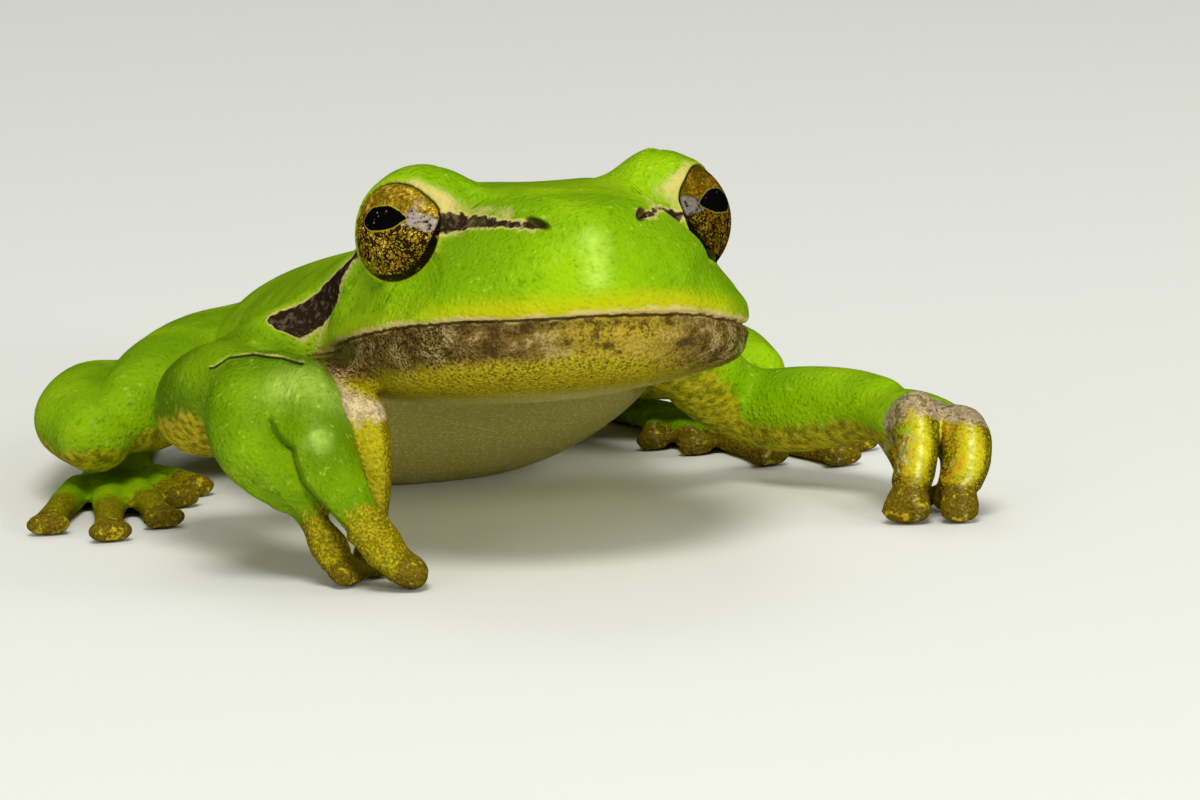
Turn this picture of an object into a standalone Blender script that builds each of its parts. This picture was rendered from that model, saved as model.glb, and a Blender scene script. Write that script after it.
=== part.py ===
"""European tree frog (Hyla arborea), an adult male crouching with its head raised and both hands forward.

Every size is in millimetres until a mesh is made. The nose points along -Y, the frog's left side is +X,
+Z is up, and belly, discs and feet rest at z = 0. Positions are given as world points, apart from the head,
which is shaped in a frame of its own: its origin is midway between the eyes and it is pitched nose-up.
"""

import math

import bmesh
import bpy
import numpy as np
from mathutils import Matrix, Vector

MM = 0.001
GAP = 0.3
WELD = 0.004
COLLECTION_NAME = "tree_frog"

# Head, in its own frame
EYE_MID = (0.0, -15.0, 12.0)
HEAD_PITCH = math.radians(5.0)
HEAD_FRAME = Matrix.Translation(Vector(EYE_MID)) @ Matrix.Rotation(-HEAD_PITCH, 4, "X")
HEAD_POINTS = 32
HEAD_BACK_Y = 9.0
NAPE_DROP = 1.6
TOP_POLE = (0.0, 3.0, 1.45)
THROAT_POLE = (0.0, 2.5, -6.5)
# Level outlines from throat to crown: half-width, centre y, front y, roundness, z in front, z at the side
HEAD_OUTLINES = (
    (2.6, 3.0, -1.4, 2.0, -6.35, -6.45),
    (4.9, 3.0, -4.6, 2.1, -5.75, -6.2),
    (6.6, 2.5, -6.35, 2.2, -5.0, -5.7),
    (7.35, 2.0, -6.95, 2.2, -4.1, -4.9),
    (7.65, 2.0, -7.25, 2.2, -3.1, -4.1),
    (7.75, 2.0, -7.4, 2.2, -2.4, -3.3),
    (7.25, 2.2, -7.4, 2.1, -1.4, -2.0),
    (6.4, 3.0, -7.2, 1.8, -0.5, -0.6),
    (5.7, 4.0, -6.8, 1.6, 0.25, 0.6),
    (4.7, 4.0, -5.9, 1.7, 0.8, 1.15),
    (2.8, 4.0, -3.4, 1.9, 1.3, 1.4),
)

# Eyes: a ball under a lid dome, seen through an oval opening
EYE_X = 4.7
LEFT_EYE_SHIFT = (-0.12, 0.0, -0.3)  # the left eye sits a little lower and further in
EYE_RADIUS = 2.35
LID_RADIUS = 2.65
EYE_TURN = math.radians(51.0)
EYE_LIFT = math.radians(10.0)
OPENING_HALF_LENGTH = 1.92
OPENING_HALF_HEIGHT = 1.74
EYE_SEAT_DEPTH = 0.7
EYE_SEAT_SHARE = 0.82
EYE_RECESS_REACH = 4.2
EYE_CAP_SHARES = (0.35, 0.7, 1.0)
WIDEST_SINE = 0.99
EYE_POINTS = 20

NOSTRIL = (1.9, -6.25, 0.35)
NOSTRIL_RADIUS = 0.26
TYMPANUM = (6.72, 4.3, -1.25)
TYMPANUM_RADIUS = 0.95
TYMPANUM_THICKNESS = 0.55
TYMPANUM_TURN = math.radians(62.0)

# The mouth runs back from the lip's front at z to the corner, as (y, z) in the head's frame
MOUTH_LINE = ((-9.0, -3.0), (-6.0, -3.2), (-1.7, -3.45), (1.8, -4.0), (4.4, -4.3), (14.0, -5.2))
NECK_Y = -8.3

# Trunk, as world rings: y, top z, bottom z, half-width
TRUNK_POINTS = 24
TRUNK_ROUNDNESS = 2.25
TRUNK_RINGS = (
    (-13.4, 11.2, 7.0, 5.0),
    (-12.0, 12.7, 5.6, 6.8),
    (-7.5, 11.6, 3.7, 7.6),
    (-1.5, 10.2, 0.9, 8.2),
    (4.5, 9.2, -0.6, 8.1),
    (11.0, 8.0, -0.7, 6.9),
    (16.0, 6.7, -0.3, 5.3),
    (19.6, 4.9, 0.5, 3.7),
    (21.3, 4.0, 1.3, 2.0),
)

END_BULGE = 0.7
LIMB_POINTS = 12
DIGIT_POINTS = 8

UP = (0.0, 0.0, 1.0)
RIGHT_HAND_BACK = (-0.5, -0.57, 0.62)
LEFT_HAND_BACK = (0.0, -0.6, 0.8)

# Each stretch of limb: stations of x, y, z, half-width, half-height
RIGHT_ARM = {
    "upper_arm": ((-4.8, -8.6, 8.2, 1.7, 1.7), (-7.2, -7.4, 7.4, 1.7, 1.8),
                  (-9.2, -5.9, 6.2, 1.7, 1.75), (-10.6, -4.9, 5.1, 1.75, 1.75)),
    "forearm": ((-10.6, -4.9, 5.0, 1.75, 1.75), (-11.1, -7.0, 5.4, 2.2, 2.1),
                (-11.0, -9.2, 6.0, 2.15, 2.0), (-10.7, -11.3, 6.4, 1.65, 1.55)),
    "hand": ((-10.5, -12.4, 6.5, 1.4, 1.25), (-10.4, -13.9, 6.4, 1.95, 1.35),
             (-10.3, -15.4, 5.5, 2.3, 1.3), (-10.1, -16.4, 4.2, 1.9, 1.0)),
    "finger_3": ((-9.7, -15.6, 5.8, 1.1, 1.05), (-9.5, -16.9, 4.7, 1.1, 1.0),
                 (-8.9, -18.2, 3.2, 0.88, 0.8), (-8.1, -19.2, 1.9, 0.8, 0.62),
                 (-7.6, -19.5, 1.0, 0.9, 0.55), (-6.9, -19.6, 0.42, 1.15, 0.42)),
    "finger_4": ((-10.6, -15.4, 4.6, 0.95, 0.9), (-10.15, -16.4, 3.1, 0.84, 0.78),
                 (-9.65, -17.1, 1.9, 0.74, 0.66), (-9.2, -17.5, 0.95, 0.7, 0.52),
                 (-8.8, -17.9, 0.42, 0.98, 0.42)),
    "finger_2": ((-8.1, -15.0, 6.6, 0.95, 0.9), (-7.7, -16.2, 5.9, 0.9, 0.85),
                 (-7.5, -16.8, 4.6, 0.76, 0.72), (-7.5, -16.7, 2.9, 0.64, 0.6),
                 (-7.6, -16.4, 1.3, 0.6, 0.5), (-7.7, -17.0, 0.42, 0.88, 0.42)),
    "finger_1": ((-8.9, -13.8, 5.9, 0.8, 0.75), (-8.5, -14.6, 4.9, 0.7, 0.65),
                 (-8.35, -15.0, 3.8, 0.6, 0.55), (-8.35, -15.1, 2.9, 0.72, 0.45)),
}
LEFT_ARM = {
    "upper_arm": ((4.8, -8.4, 7.4, 1.7, 1.7), (7.0, -7.2, 5.9, 1.65, 1.75),
                  (9.0, -5.6, 4.0, 1.5, 1.6), (10.6, -4.6, 2.8, 1.4, 1.45)),
    "forearm": ((10.6, -4.6, 2.7, 1.4, 1.45), (11.8, -6.9, 2.9, 1.75, 1.65),
                (13.0, -9.2, 3.2, 1.6, 1.5), (14.0, -11.3, 3.4, 1.25, 1.2)),
    "hand": ((14.2, -12.0, 3.2, 1.2, 1.05), (14.4, -13.5, 3.3, 1.55, 1.0),
             (14.5, -15.0, 3.25, 1.7, 0.9), (14.5, -15.9, 3.1, 1.4, 0.8)),
    "finger_3": ((15.35, -15.0, 3.1, 0.85, 0.8), (15.45, -16.5, 3.1, 0.86, 0.84),
                 (15.2, -17.4, 2.2, 0.77, 0.78), (14.8, -17.6, 1.2, 0.68, 0.62),
                 (14.4, -18.3, 0.42, 0.85, 0.42)),
    "finger_2": ((13.9, -14.6, 3.4, 0.88, 0.82), (13.85, -15.9, 3.45, 0.86, 0.86),
                 (13.65, -16.8, 2.5, 0.76, 0.8), (13.35, -16.8, 1.3, 0.72, 0.64),
                 (12.95, -17.4, 0.42, 1.0, 0.42)),
    "finger_4": ((15.6, -14.2, 2.7, 0.78, 0.72), (15.8, -14.9, 1.9, 0.65, 0.62),
                 (15.5, -15.3, 1.0, 0.58, 0.5), (15.2, -16.0, 0.42, 0.8, 0.42)),
    "finger_1": ((14.0, -13.0, 2.7, 0.75, 0.7), (14.2, -13.7, 1.8, 0.62, 0.58),
                 (14.3, -14.1, 0.95, 0.55, 0.5), (14.35, -14.8, 0.42, 0.72, 0.42)),
}
# The folded hind leg of the left side; the right one is its mirror image
HIND_LEG = {
    "thigh": ((2.9, 17.2, 3.4, 2.4, 2.2), (6.0, 13.4, 3.7, 2.6, 2.3), (9.0, 8.8, 3.7, 2.4, 2.15),
              (11.0, 5.2, 3.5, 1.9, 1.8), (11.8, 4.0, 3.3, 1.45, 1.4)),
    "shank": ((13.4, 3.2, 2.8, 1.45, 1.35), (13.3, 6.8, 3.0, 1.75, 1.55), (11.7, 11.8, 3.0, 1.7, 1.5),
              (9.7, 16.4, 2.6, 1.4, 1.2), (8.5, 19.4, 2.2, 1.25, 1.15)),
    "tarsus": ((8.2, 19.9, 0.95, 1.15, 0.9), (8.9, 16.6, 0.7, 0.95, 0.7),
               (10.1, 12.9, 0.6, 1.05, 0.65), (11.0, 10.0, 0.55, 1.25, 0.6)),
    "foot": ((11.0, 9.8, 0.5, 1.3, 0.6), (11.8, 7.2, 0.45, 1.6, 0.55), (12.3, 5.0, 0.45, 1.9, 0.55)),
    "toe_4": ((12.6, 5.2, 0.5, 0.8, 0.55), (13.3, 1.8, 0.5, 0.7, 0.52), (14.1, -1.7, 0.48, 0.54, 0.5),
              (14.5, -3.5, 0.44, 0.62, 0.45), (14.6, -4.2, 0.42, 0.9, 0.42)),
    "toe_5": ((13.6, 5.6, 0.5, 0.75, 0.55), (14.7, 3.0, 0.5, 0.65, 0.52), (15.7, 0.5, 0.48, 0.52, 0.5),
              (16.2, -0.7, 0.44, 0.6, 0.45), (16.4, -1.4, 0.42, 0.88, 0.42)),
    "toe_3": ((11.8, 5.0, 0.5, 0.7, 0.55), (11.95, 2.1, 0.5, 0.62, 0.52), (12.1, -0.5, 0.48, 0.52, 0.5),
              (12.15, -1.8, 0.44, 0.6, 0.45), (12.15, -2.5, 0.42, 0.88, 0.42)),
    "toe_2": ((11.0, 5.4, 0.5, 0.6, 0.52), (10.7, 3.4, 0.48, 0.52, 0.5),
              (10.55, 2.2, 0.44, 0.55, 0.45), (10.5, 1.6, 0.42, 0.78, 0.42)),
    "toe_1": ((10.4, 6.4, 0.5, 0.55, 0.5), (9.8, 5.0, 0.48, 0.5, 0.48),
              (9.5, 4.2, 0.44, 0.52, 0.45), (9.35, 3.7, 0.42, 0.72, 0.42)),
}
# What each stretch is carved clear of, so that a gap is left between touching flesh
CLEARS = {
    "upper_arm": ("body",),
    "forearm": ("body", "upper_arm"),
    "hand": ("forearm",),
    "finger_3": ("hand",),
    "finger_4": ("hand", "finger_3"),
    "finger_2": ("hand", "finger_3"),
    "finger_1": ("hand", "finger_2"),
    "thigh": ("body",),
    "shank": ("body", "thigh"),
    "tarsus": ("shank", "thigh"),
    "foot": ("tarsus", "shank"),
    "toe_4": ("foot",),
    "toe_5": ("foot", "toe_4"),
    "toe_3": ("foot", "toe_4"),
    "toe_2": ("foot", "toe_3"),
    "toe_1": ("foot", "toe_2"),
}

GREEN = (0.20, 0.38, 0.01, 1.0)
PALE_GREEN = (0.30, 0.46, 0.03, 1.0)
LIP_BROWN = (0.24, 0.16, 0.05, 1.0)
DIGIT_GOLD = (0.34, 0.26, 0.03, 1.0)
IRIS_GOLD = (0.20, 0.14, 0.02, 1.0)
EAR_BROWN = (0.06, 0.04, 0.02, 1.0)


def clear_scene():
    for obj in list(bpy.data.objects):
        bpy.data.objects.remove(obj)


def make_collection(name):
    collection = bpy.data.collections.new(name)
    bpy.context.scene.collection.children.link(collection)
    return collection


def make_material(name, colour, roughness):
    material = bpy.data.materials.new(name)
    material.use_nodes = True
    shader = material.node_tree.nodes["Principled BSDF"]
    shader.inputs["Base Color"].default_value = colour
    shader.inputs["Roughness"].default_value = roughness
    shader.inputs["Metallic"].default_value = 0.0
    material.diffuse_color = colour
    return material


def make_object(name, mesh, collection, material=None):
    obj = bpy.data.objects.new(name, mesh)
    collection.objects.link(obj)
    if material:
        mesh.materials.append(material)
    return obj


def loft(name, rings, start, end):
    """Closed skin over a row of like-numbered rings, with a pole at each end; points are in millimetres."""
    count, points = rings.shape[:2]
    verts = np.concatenate([rings.reshape(-1, 3), [start], [end]]) * MM
    first_pole, last_pole = count * points, count * points + 1
    faces = []
    for k in range(points):
        nxt = (k + 1) % points
        faces.append((first_pole, nxt, k))
        last = (count - 1) * points
        faces.append((last_pole, last + k, last + nxt))
        for row in range(count - 1):
            a = row * points
            faces.append((a + k, a + nxt, a + points + nxt, a + points + k))
    mesh = bpy.data.meshes.new(name)
    mesh.from_pydata(verts.tolist(), [], faces)
    outward(mesh)
    return mesh


def outward(mesh):
    bm = bmesh.new()
    bm.from_mesh(mesh)
    bmesh.ops.recalc_face_normals(bm, faces=bm.faces)
    bm.to_mesh(mesh)
    bm.free()


def unit(vectors):
    vectors = np.asarray(vectors, float)
    return vectors / np.linalg.norm(vectors, axis=-1, keepdims=True)


def smooth_rows(rows, steps):
    """Catmull-Rom curve through rows of numbers, with a given number of steps to each span."""
    rows = np.asarray(rows, float)
    padded = np.vstack([2 * rows[0] - rows[1], rows, 2 * rows[-1] - rows[-2]])
    spans = np.arange(len(rows) - 1)
    out = []
    for t in np.arange(steps) / steps:
        a, b, c, d = (padded[spans + k] for k in range(4))
        out.append(0.5 * (2 * b + (c - a) * t + (2 * a - 5 * b + 4 * c - d) * t * t
                          + (3 * b - a - 3 * c + d) * t ** 3))
    return np.vstack([np.stack(out, axis=1).reshape(-1, rows.shape[1]), rows[-1:]])


def limb_mesh(name, stations, points, steps, up_start, up_end, grow=0.0):
    """A limb or digit of oval section along a smooth path, with rounded ends."""
    rows = smooth_rows(stations, steps)
    centres, halves = rows[:, :3], rows[:, 3:] + grow
    along = unit(np.gradient(centres, axis=0))
    share = np.linspace(0.0, 1.0, len(rows))[:, None]
    up = (1 - share) * np.array(up_start) + share * np.array(up_end)
    side = unit(np.cross(along, up))
    top = np.cross(side, along)
    rings = []
    shrink = math.sqrt(1 - END_BULGE ** 2)
    for i in [0] + list(range(len(rows))) + [len(rows) - 1]:
        rings.append([centres[i], halves[i], i])
    for ring, sign in ((rings[0], -1), (rings[-1], 1)):
        ring[0] = ring[0] + sign * END_BULGE * ring[1].min() * along[ring[2]]
        ring[1] = ring[1] * shrink
    turn = np.arange(points) * 2 * math.pi / points + math.pi / points
    across, over = np.cos(turn), np.sin(turn)
    loops = np.array([centre + np.outer(across * half[0], side[i]) + np.outer(over * half[1], top[i])
                      for centre, half, i in rings])
    start = centres[0] - halves[0].min() * along[0]
    end = centres[-1] + halves[-1].min() * along[-1]
    if grow == 0.0:
        loops[..., 2] = np.maximum(loops[..., 2], 0.0)
        start[2], end[2] = max(start[2], 0.0), max(end[2], 0.0)
    return loft(name, loops, start, end)


def power(value, exponent):
    return np.sign(value) * np.abs(value) ** exponent


def head_mesh(name, grow=0.0):
    """The head as a stack of level outlines, from the throat to the crown."""
    turn = np.arange(HEAD_POINTS) * 2 * math.pi / HEAD_POINTS
    rings = []
    for half_width, centre_y, front_y, roundness, front_z, side_z in HEAD_OUTLINES:
        forward = np.maximum(np.sin(turn), 0.0)
        fore = -(centre_y - front_y + grow) * power(forward, 2 / roundness)
        back = (HEAD_BACK_Y - centre_y + grow) * np.maximum(-np.sin(turn), 0.0)
        x = (half_width + grow) * power(np.cos(turn), 2 / roundness)
        z = side_z + (front_z - side_z) * forward ** 1.5
        z = z - NAPE_DROP * max(side_z, 0.0) * np.maximum(-np.sin(turn), 0.0) ** 2
        middle = 0.5 * (TOP_POLE[2] + THROAT_POLE[2])
        rings.append(np.column_stack([x, centre_y + fore + back, z + grow * np.sign(z - middle)]))
    start = np.array(THROAT_POLE) - (0, 0, grow)
    end = np.array(TOP_POLE) + (0, 0, grow)
    mesh = loft(name, np.array(rings), start, end)
    mesh.transform(in_metres(HEAD_FRAME))
    return mesh


def in_metres(matrix):
    scaled = matrix.copy()
    scaled.translation = matrix.translation * MM
    return scaled


def trunk_mesh(name, grow=0.0):
    """The trunk as upright rings along the body, flat where the belly rests."""
    rows = smooth_rows(TRUNK_RINGS, 2)
    turn = np.arange(TRUNK_POINTS) * 2 * math.pi / TRUNK_POINTS
    rings = []
    for y, top, bottom, half_width in rows:
        half_height = 0.5 * (top - bottom) + grow
        x = (half_width + grow) * power(np.cos(turn), 2 / TRUNK_ROUNDNESS)
        z = 0.5 * (top + bottom) + half_height * power(np.sin(turn), 2 / TRUNK_ROUNDNESS)
        rings.append(np.column_stack([x, np.full_like(x, y), z if grow else np.maximum(z, 0.0)]))
    middles = rows[[0, -1], 1:3].mean(axis=1)
    start = (0.0, rows[0, 0] - 1.0 - grow, middles[0])
    end = (0.0, rows[-1, 0] + 0.6 + grow, middles[1])
    return loft(name, np.array(rings), start, end)


def eye_frame(side):
    """Where an eye looks: its centre, the axis of its opening, and the opening's length and height."""
    axis = np.array([side * math.sin(EYE_TURN) * math.cos(EYE_LIFT),
                     -math.cos(EYE_TURN) * math.cos(EYE_LIFT), math.sin(EYE_LIFT)])
    length = unit(np.cross(axis, UP))
    centre = np.array([side * EYE_X, 0.0, 0.0]) + (side > 0) * np.array(LEFT_EYE_SHIFT)
    return centre, axis, length, np.cross(length, axis)


def eye_plug(name, side, grow, reach):
    """The oval stretch of eyeball between the lids, from its flat seat out to a given reach."""
    centre, axis, length, height = eye_frame(side)
    turn = np.arange(EYE_POINTS) * 2 * math.pi / EYE_POINTS
    half_length = math.asin((OPENING_HALF_LENGTH + grow) / EYE_RADIUS)
    half_height = math.asin(min((OPENING_HALF_HEIGHT + grow) / EYE_RADIUS, WIDEST_SINE))
    rings = []
    for share in EYE_CAP_SHARES:
        rings.append(cap_ring(reach, share * half_length, share * half_height, turn, axis, length, height))
    rim = rings[-1]
    seat = EYE_SEAT_SHARE * rim * (EYE_RADIUS / reach) - axis * (EYE_SEAT_DEPTH + grow)
    rings = np.array(rings + [seat]) + centre
    mesh = loft(name, rings, centre + reach * axis, seat.mean(axis=0) + centre)
    mesh.transform(in_metres(HEAD_FRAME))
    return mesh


def cap_ring(radius, half_length, half_height, turn, axis, length, height):
    slide = np.outer(np.cos(turn) * math.sin(half_length), length)
    slide = slide + np.outer(np.sin(turn) * math.sin(half_height), height)
    rise = np.sqrt(1 - (slide ** 2).sum(axis=1))
    return radius * (slide + rise[:, None] * axis)


def ball(name, centre, radius, frame, collection):
    mesh = bpy.data.meshes.new(name)
    bm = bmesh.new()
    bmesh.ops.create_uvsphere(bm, u_segments=24, v_segments=14, radius=radius * MM)
    bm.to_mesh(mesh)
    bm.free()
    obj = make_object(name, mesh, collection)
    obj.matrix_world = in_metres(frame @ Matrix.Translation(Vector(centre)))
    return obj


def disc(name, side, grow, collection, material=None):
    """The eardrum: a thin disc let into the side of the head."""
    mesh = bpy.data.meshes.new(name)
    bm = bmesh.new()
    radius = (TYMPANUM_RADIUS + grow) * MM
    depth = (TYMPANUM_THICKNESS + 2 * grow) * MM
    bmesh.ops.create_cone(bm, cap_ends=True, segments=16, radius1=radius, radius2=radius, depth=depth)
    bm.to_mesh(mesh)
    bm.free()
    obj = make_object(name, mesh, collection, material)
    place = Matrix.Translation(Vector((side * TYMPANUM[0], *TYMPANUM[1:])))
    obj.matrix_world = in_metres(HEAD_FRAME @ place @ Matrix.Rotation(side * TYMPANUM_TURN, 4, "Y"))
    return obj


def box(name, low, high, collection):
    mesh = bpy.data.meshes.new(name)
    bm = bmesh.new()
    bmesh.ops.create_cube(bm, size=1.0)
    bm.to_mesh(mesh)
    bm.free()
    obj = make_object(name, mesh, collection)
    low, high = Vector(low), Vector(high)
    obj.location = (low + high) * 0.5 * MM
    obj.scale = (high - low) * MM
    return obj


def mouth_slab(name, up_by, reach, collection):
    """Everything above or below the mouth line, whose edge is a gap's half away from it."""
    line = [(y, z + up_by) for y, z in MOUTH_LINE]
    outline = line + [(MOUTH_LINE[-1][0], reach), (MOUTH_LINE[0][0], reach)]
    half = 12.0
    verts = [(x, y, z) for x in (-half, half) for y, z in outline]
    count = len(outline)
    faces = [tuple(range(count)), tuple(range(2 * count - 1, count - 1, -1))]
    faces += [(k, count + k, count + (k + 1) % count, (k + 1) % count) for k in range(count)]
    mesh = bpy.data.meshes.new(name)
    mesh.from_pydata([tuple(c * MM for c in v) for v in verts], [], faces)
    outward(mesh)
    mesh.transform(in_metres(HEAD_FRAME))
    return make_object(name, mesh, collection)


def boolean(obj, operation, cutter):
    modifier = obj.modifiers.new(f"{operation.lower()} {cutter.name}", "BOOLEAN")
    modifier.operation = operation
    modifier.solver = "EXACT"
    modifier.object = cutter


def freeze(obj):
    """Apply an object's modifiers and keep the largest of the pieces that they leave."""
    bpy.context.view_layer.update()
    evaluated = obj.evaluated_get(bpy.context.evaluated_depsgraph_get())
    mesh = bpy.data.meshes.new_from_object(evaluated)
    obj.modifiers.clear()
    obj.data = mesh
    bm = bmesh.new()
    bm.from_mesh(mesh)
    bmesh.ops.triangulate(bm, faces=bm.faces)
    islands = split_islands(bm)
    largest = max(islands, key=lambda island: sum(face.calc_area() for face in island))
    strays = [face for island in islands if island is not largest for face in island]
    bmesh.ops.delete(bm, geom=strays, context="FACES")
    bmesh.ops.remove_doubles(bm, verts=bm.verts, dist=WELD * MM)
    drop_fins(bm)
    bm.to_mesh(mesh)
    bm.free()


def drop_fins(bm):
    """Remove pairs of faces that a weld has laid back to back."""
    twins = {}
    for face in bm.faces:
        twins.setdefault(frozenset(face.verts), []).append(face)
    fins = [face for group in twins.values() if len(group) > 1 for face in group]
    bmesh.ops.delete(bm, geom=fins, context="FACES")


def split_islands(bm):
    left, islands = set(bm.faces), []
    while left:
        island, front = set(), [left.pop()]
        while front:
            face = front.pop()
            island.add(face)
            for edge in face.edges:
                for other in edge.link_faces:
                    if other in left:
                        left.discard(other)
                        front.append(other)
        islands.append(island)
    return islands


def mirrored(stations):
    return tuple((-x, y, z, half_width, half_height) for x, y, z, half_width, half_height in stations)


def build_body(parts, cutters, materials):
    """Head, jaw and trunk: one form, parted at the neck and the mouth."""
    domes = [ball(f"cut_lid_{side}", (side * EYE_X, 0, 0), LID_RADIUS, HEAD_FRAME, cutters)
             for side in (-1, 1)]
    trunk_form = make_object("cut_trunk_form", trunk_mesh("trunk_form"), cutters)
    whole = make_object("cut_body_form", head_mesh("head_form"), cutters)
    for other in [trunk_form] + domes:
        boolean(whole, "UNION", other)
    behind = box("cut_behind_neck", (-30, NECK_Y - GAP / 2, -10), (30, 40, 30), cutters)
    ahead = box("cut_ahead_of_neck", (-30, -40, -10), (30, NECK_Y + GAP / 2, 30), cutters)
    below = mouth_slab("cut_below_mouth", GAP / 2, -20.0, cutters)
    above = mouth_slab("cut_above_mouth", -GAP / 2, 20.0, cutters)
    freeze(whole)
    recesses = [make_object(f"cut_eye_{side}", eye_plug("recess", side, GAP, EYE_RECESS_REACH), cutters)
                for side in (-1, 1)]
    recesses += [disc(f"cut_ear_{side}", side, GAP, cutters) for side in (-1, 1)]
    recesses += [ball(f"cut_nostril_{side}", (side * NOSTRIL[0], *NOSTRIL[1:]), NOSTRIL_RADIUS, HEAD_FRAME,
                      cutters) for side in (-1, 1)]
    for name, tools, material in (
        ("head", [behind, below] + recesses, "back"),
        ("lower_jaw", [behind, above], "lip"),
        ("trunk", [ahead], "back"),
    ):
        node = make_object(name, whole.data.copy(), parts, materials[material])
        for tool in tools:
            boolean(node, "DIFFERENCE", tool)
        freeze(node)


def build_senses(parts, materials):
    for side, word in ((-1, "right"), (1, "left")):
        make_object(f"eye_{word}", eye_plug("eye", side, 0.0, EYE_RADIUS), parts, materials["iris"])
        disc(f"tympanum_{word}", side, 0.0, parts, materials["ear"])


def limb_style(stretch):
    """Points round a section, steps along a span and material of a stretch of limb."""
    if stretch.startswith(("finger", "toe")):
        return DIGIT_POINTS, 1, "digit"
    return LIMB_POINTS, 2, "limb"


def hand_back(limb, stretch):
    if stretch.startswith(("finger", "hand")):
        return RIGHT_HAND_BACK if limb is RIGHT_ARM else LEFT_HAND_BACK
    return UP


def build_limb(limb, word, parts, cutters, materials, body_cutters):
    """One arm or leg, carved stretch by stretch clear of what it touches."""
    grown = {"body": body_cutters}
    for stretch, stations in limb.items():
        points, steps, material = limb_style(stretch)
        back = hand_back(limb, stretch)
        tip_up = UP if stretch.startswith("finger") else back
        name = f"{stretch}_{word}"
        mesh = limb_mesh(name, stations, points, steps, back, tip_up)
        node = make_object(name, mesh, parts, materials[material])
        for neighbour in CLEARS[stretch]:
            for cutter in grown[neighbour]:
                boolean(node, "DIFFERENCE", cutter)
        freeze(node)
        cut_mesh = limb_mesh(f"cut_{name}", stations, points, steps, back, tip_up, GAP)
        grown[stretch] = [make_object(f"cut_{name}", cut_mesh, cutters)]


def build():
    clear_scene()
    parts = make_collection(COLLECTION_NAME)
    cutters = make_collection("cutters")
    materials = {
        "back": make_material("skin_back", GREEN, 0.4),
        "limb": make_material("skin_limb", PALE_GREEN, 0.4),
        "lip": make_material("skin_lip", LIP_BROWN, 0.4),
        "digit": make_material("skin_digit", DIGIT_GOLD, 0.4),
        "iris": make_material("iris", IRIS_GOLD, 0.1),
        "ear": make_material("eardrum", EAR_BROWN, 0.5),
    }
    build_body(parts, cutters, materials)
    build_senses(parts, materials)
    body_cutters = [make_object("cut_grown_head", head_mesh("grown_head", GAP), cutters),
                    make_object("cut_grown_trunk", trunk_mesh("grown_trunk", GAP), cutters)]
    build_limb(RIGHT_ARM, "right", parts, cutters, materials, body_cutters)
    build_limb(LEFT_ARM, "left", parts, cutters, materials, body_cutters)
    right_leg = {stretch: mirrored(stations) for stretch, stations in HIND_LEG.items()}
    build_limb(right_leg, "right", parts, cutters, materials, body_cutters)
    build_limb(HIND_LEG, "left", parts, cutters, materials, body_cutters)
    for cutter in cutters.objects:
        cutter.hide_render = True
        cutter.display_type = "WIRE"


build()
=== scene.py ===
import math

import bmesh
import bpy
import numpy as np
from mathutils import Matrix, Vector


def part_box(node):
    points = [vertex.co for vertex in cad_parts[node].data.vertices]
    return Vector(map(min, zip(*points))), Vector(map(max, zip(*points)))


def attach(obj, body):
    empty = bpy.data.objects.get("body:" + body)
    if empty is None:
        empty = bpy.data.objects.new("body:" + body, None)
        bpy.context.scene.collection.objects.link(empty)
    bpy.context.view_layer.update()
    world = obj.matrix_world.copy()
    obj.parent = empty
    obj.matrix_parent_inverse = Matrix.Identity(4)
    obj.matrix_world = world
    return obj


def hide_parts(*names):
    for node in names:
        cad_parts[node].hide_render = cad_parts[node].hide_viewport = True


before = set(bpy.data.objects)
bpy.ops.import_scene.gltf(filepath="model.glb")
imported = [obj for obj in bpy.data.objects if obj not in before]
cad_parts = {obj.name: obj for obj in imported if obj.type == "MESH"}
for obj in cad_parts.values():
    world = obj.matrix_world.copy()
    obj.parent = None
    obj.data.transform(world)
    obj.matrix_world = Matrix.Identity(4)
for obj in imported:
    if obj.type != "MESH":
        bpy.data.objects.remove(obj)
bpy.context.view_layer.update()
mm = 0.001
print("frame loaded:", len(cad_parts), "nodes")


def unit(vectors):
    # each vector over its own length
    vectors = np.asarray(vectors, float)
    return vectors / np.maximum(np.linalg.norm(vectors, axis=-1, keepdims=True), 1e-12)


def power(value, exponent):
    # |value|^exponent with the value's sign
    return np.sign(value) * np.abs(value) ** exponent


def rise(value, low, high):
    # smooth step: 0 below low, 1 above high, 3t^2 - 2t^3 between
    t = np.clip((value - low) / (high - low), 0.0, 1.0)
    return t * t * (3 - 2 * t)


def fall(value, low, high):
    # 1 below low, 0 above high
    return 1 - rise(value, low, high)


def bump(value, width):
    # bell of height 1: exp(-(value / width)^2)
    return np.exp(-(value / width) ** 2)


def smoothRows(rows, steps):
    # Catmull-Rom curve through rows of numbers
    rows = np.asarray(rows, float)
    padded = np.vstack([2 * rows[0] - rows[1], rows, 2 * rows[-1] - rows[-2]])
    spans = np.arange(len(rows) - 1)
    a, b, c, d = (padded[spans + k][:, None] for k in range(4))
    t = (np.arange(steps) / steps)[None, :, None]
    curve = 0.5 * (2 * b + (c - a) * t + (2 * a - 5 * b + 4 * c - d) * t ** 2
                   + (3 * b - a - 3 * c + d) * t ** 3)
    return np.vstack([curve.reshape(-1, rows.shape[1]), rows[-1:]])


def distance(points, place):
    # straight distance of each point from one place
    return np.linalg.norm(points - np.asarray(place), axis=1)


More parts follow.
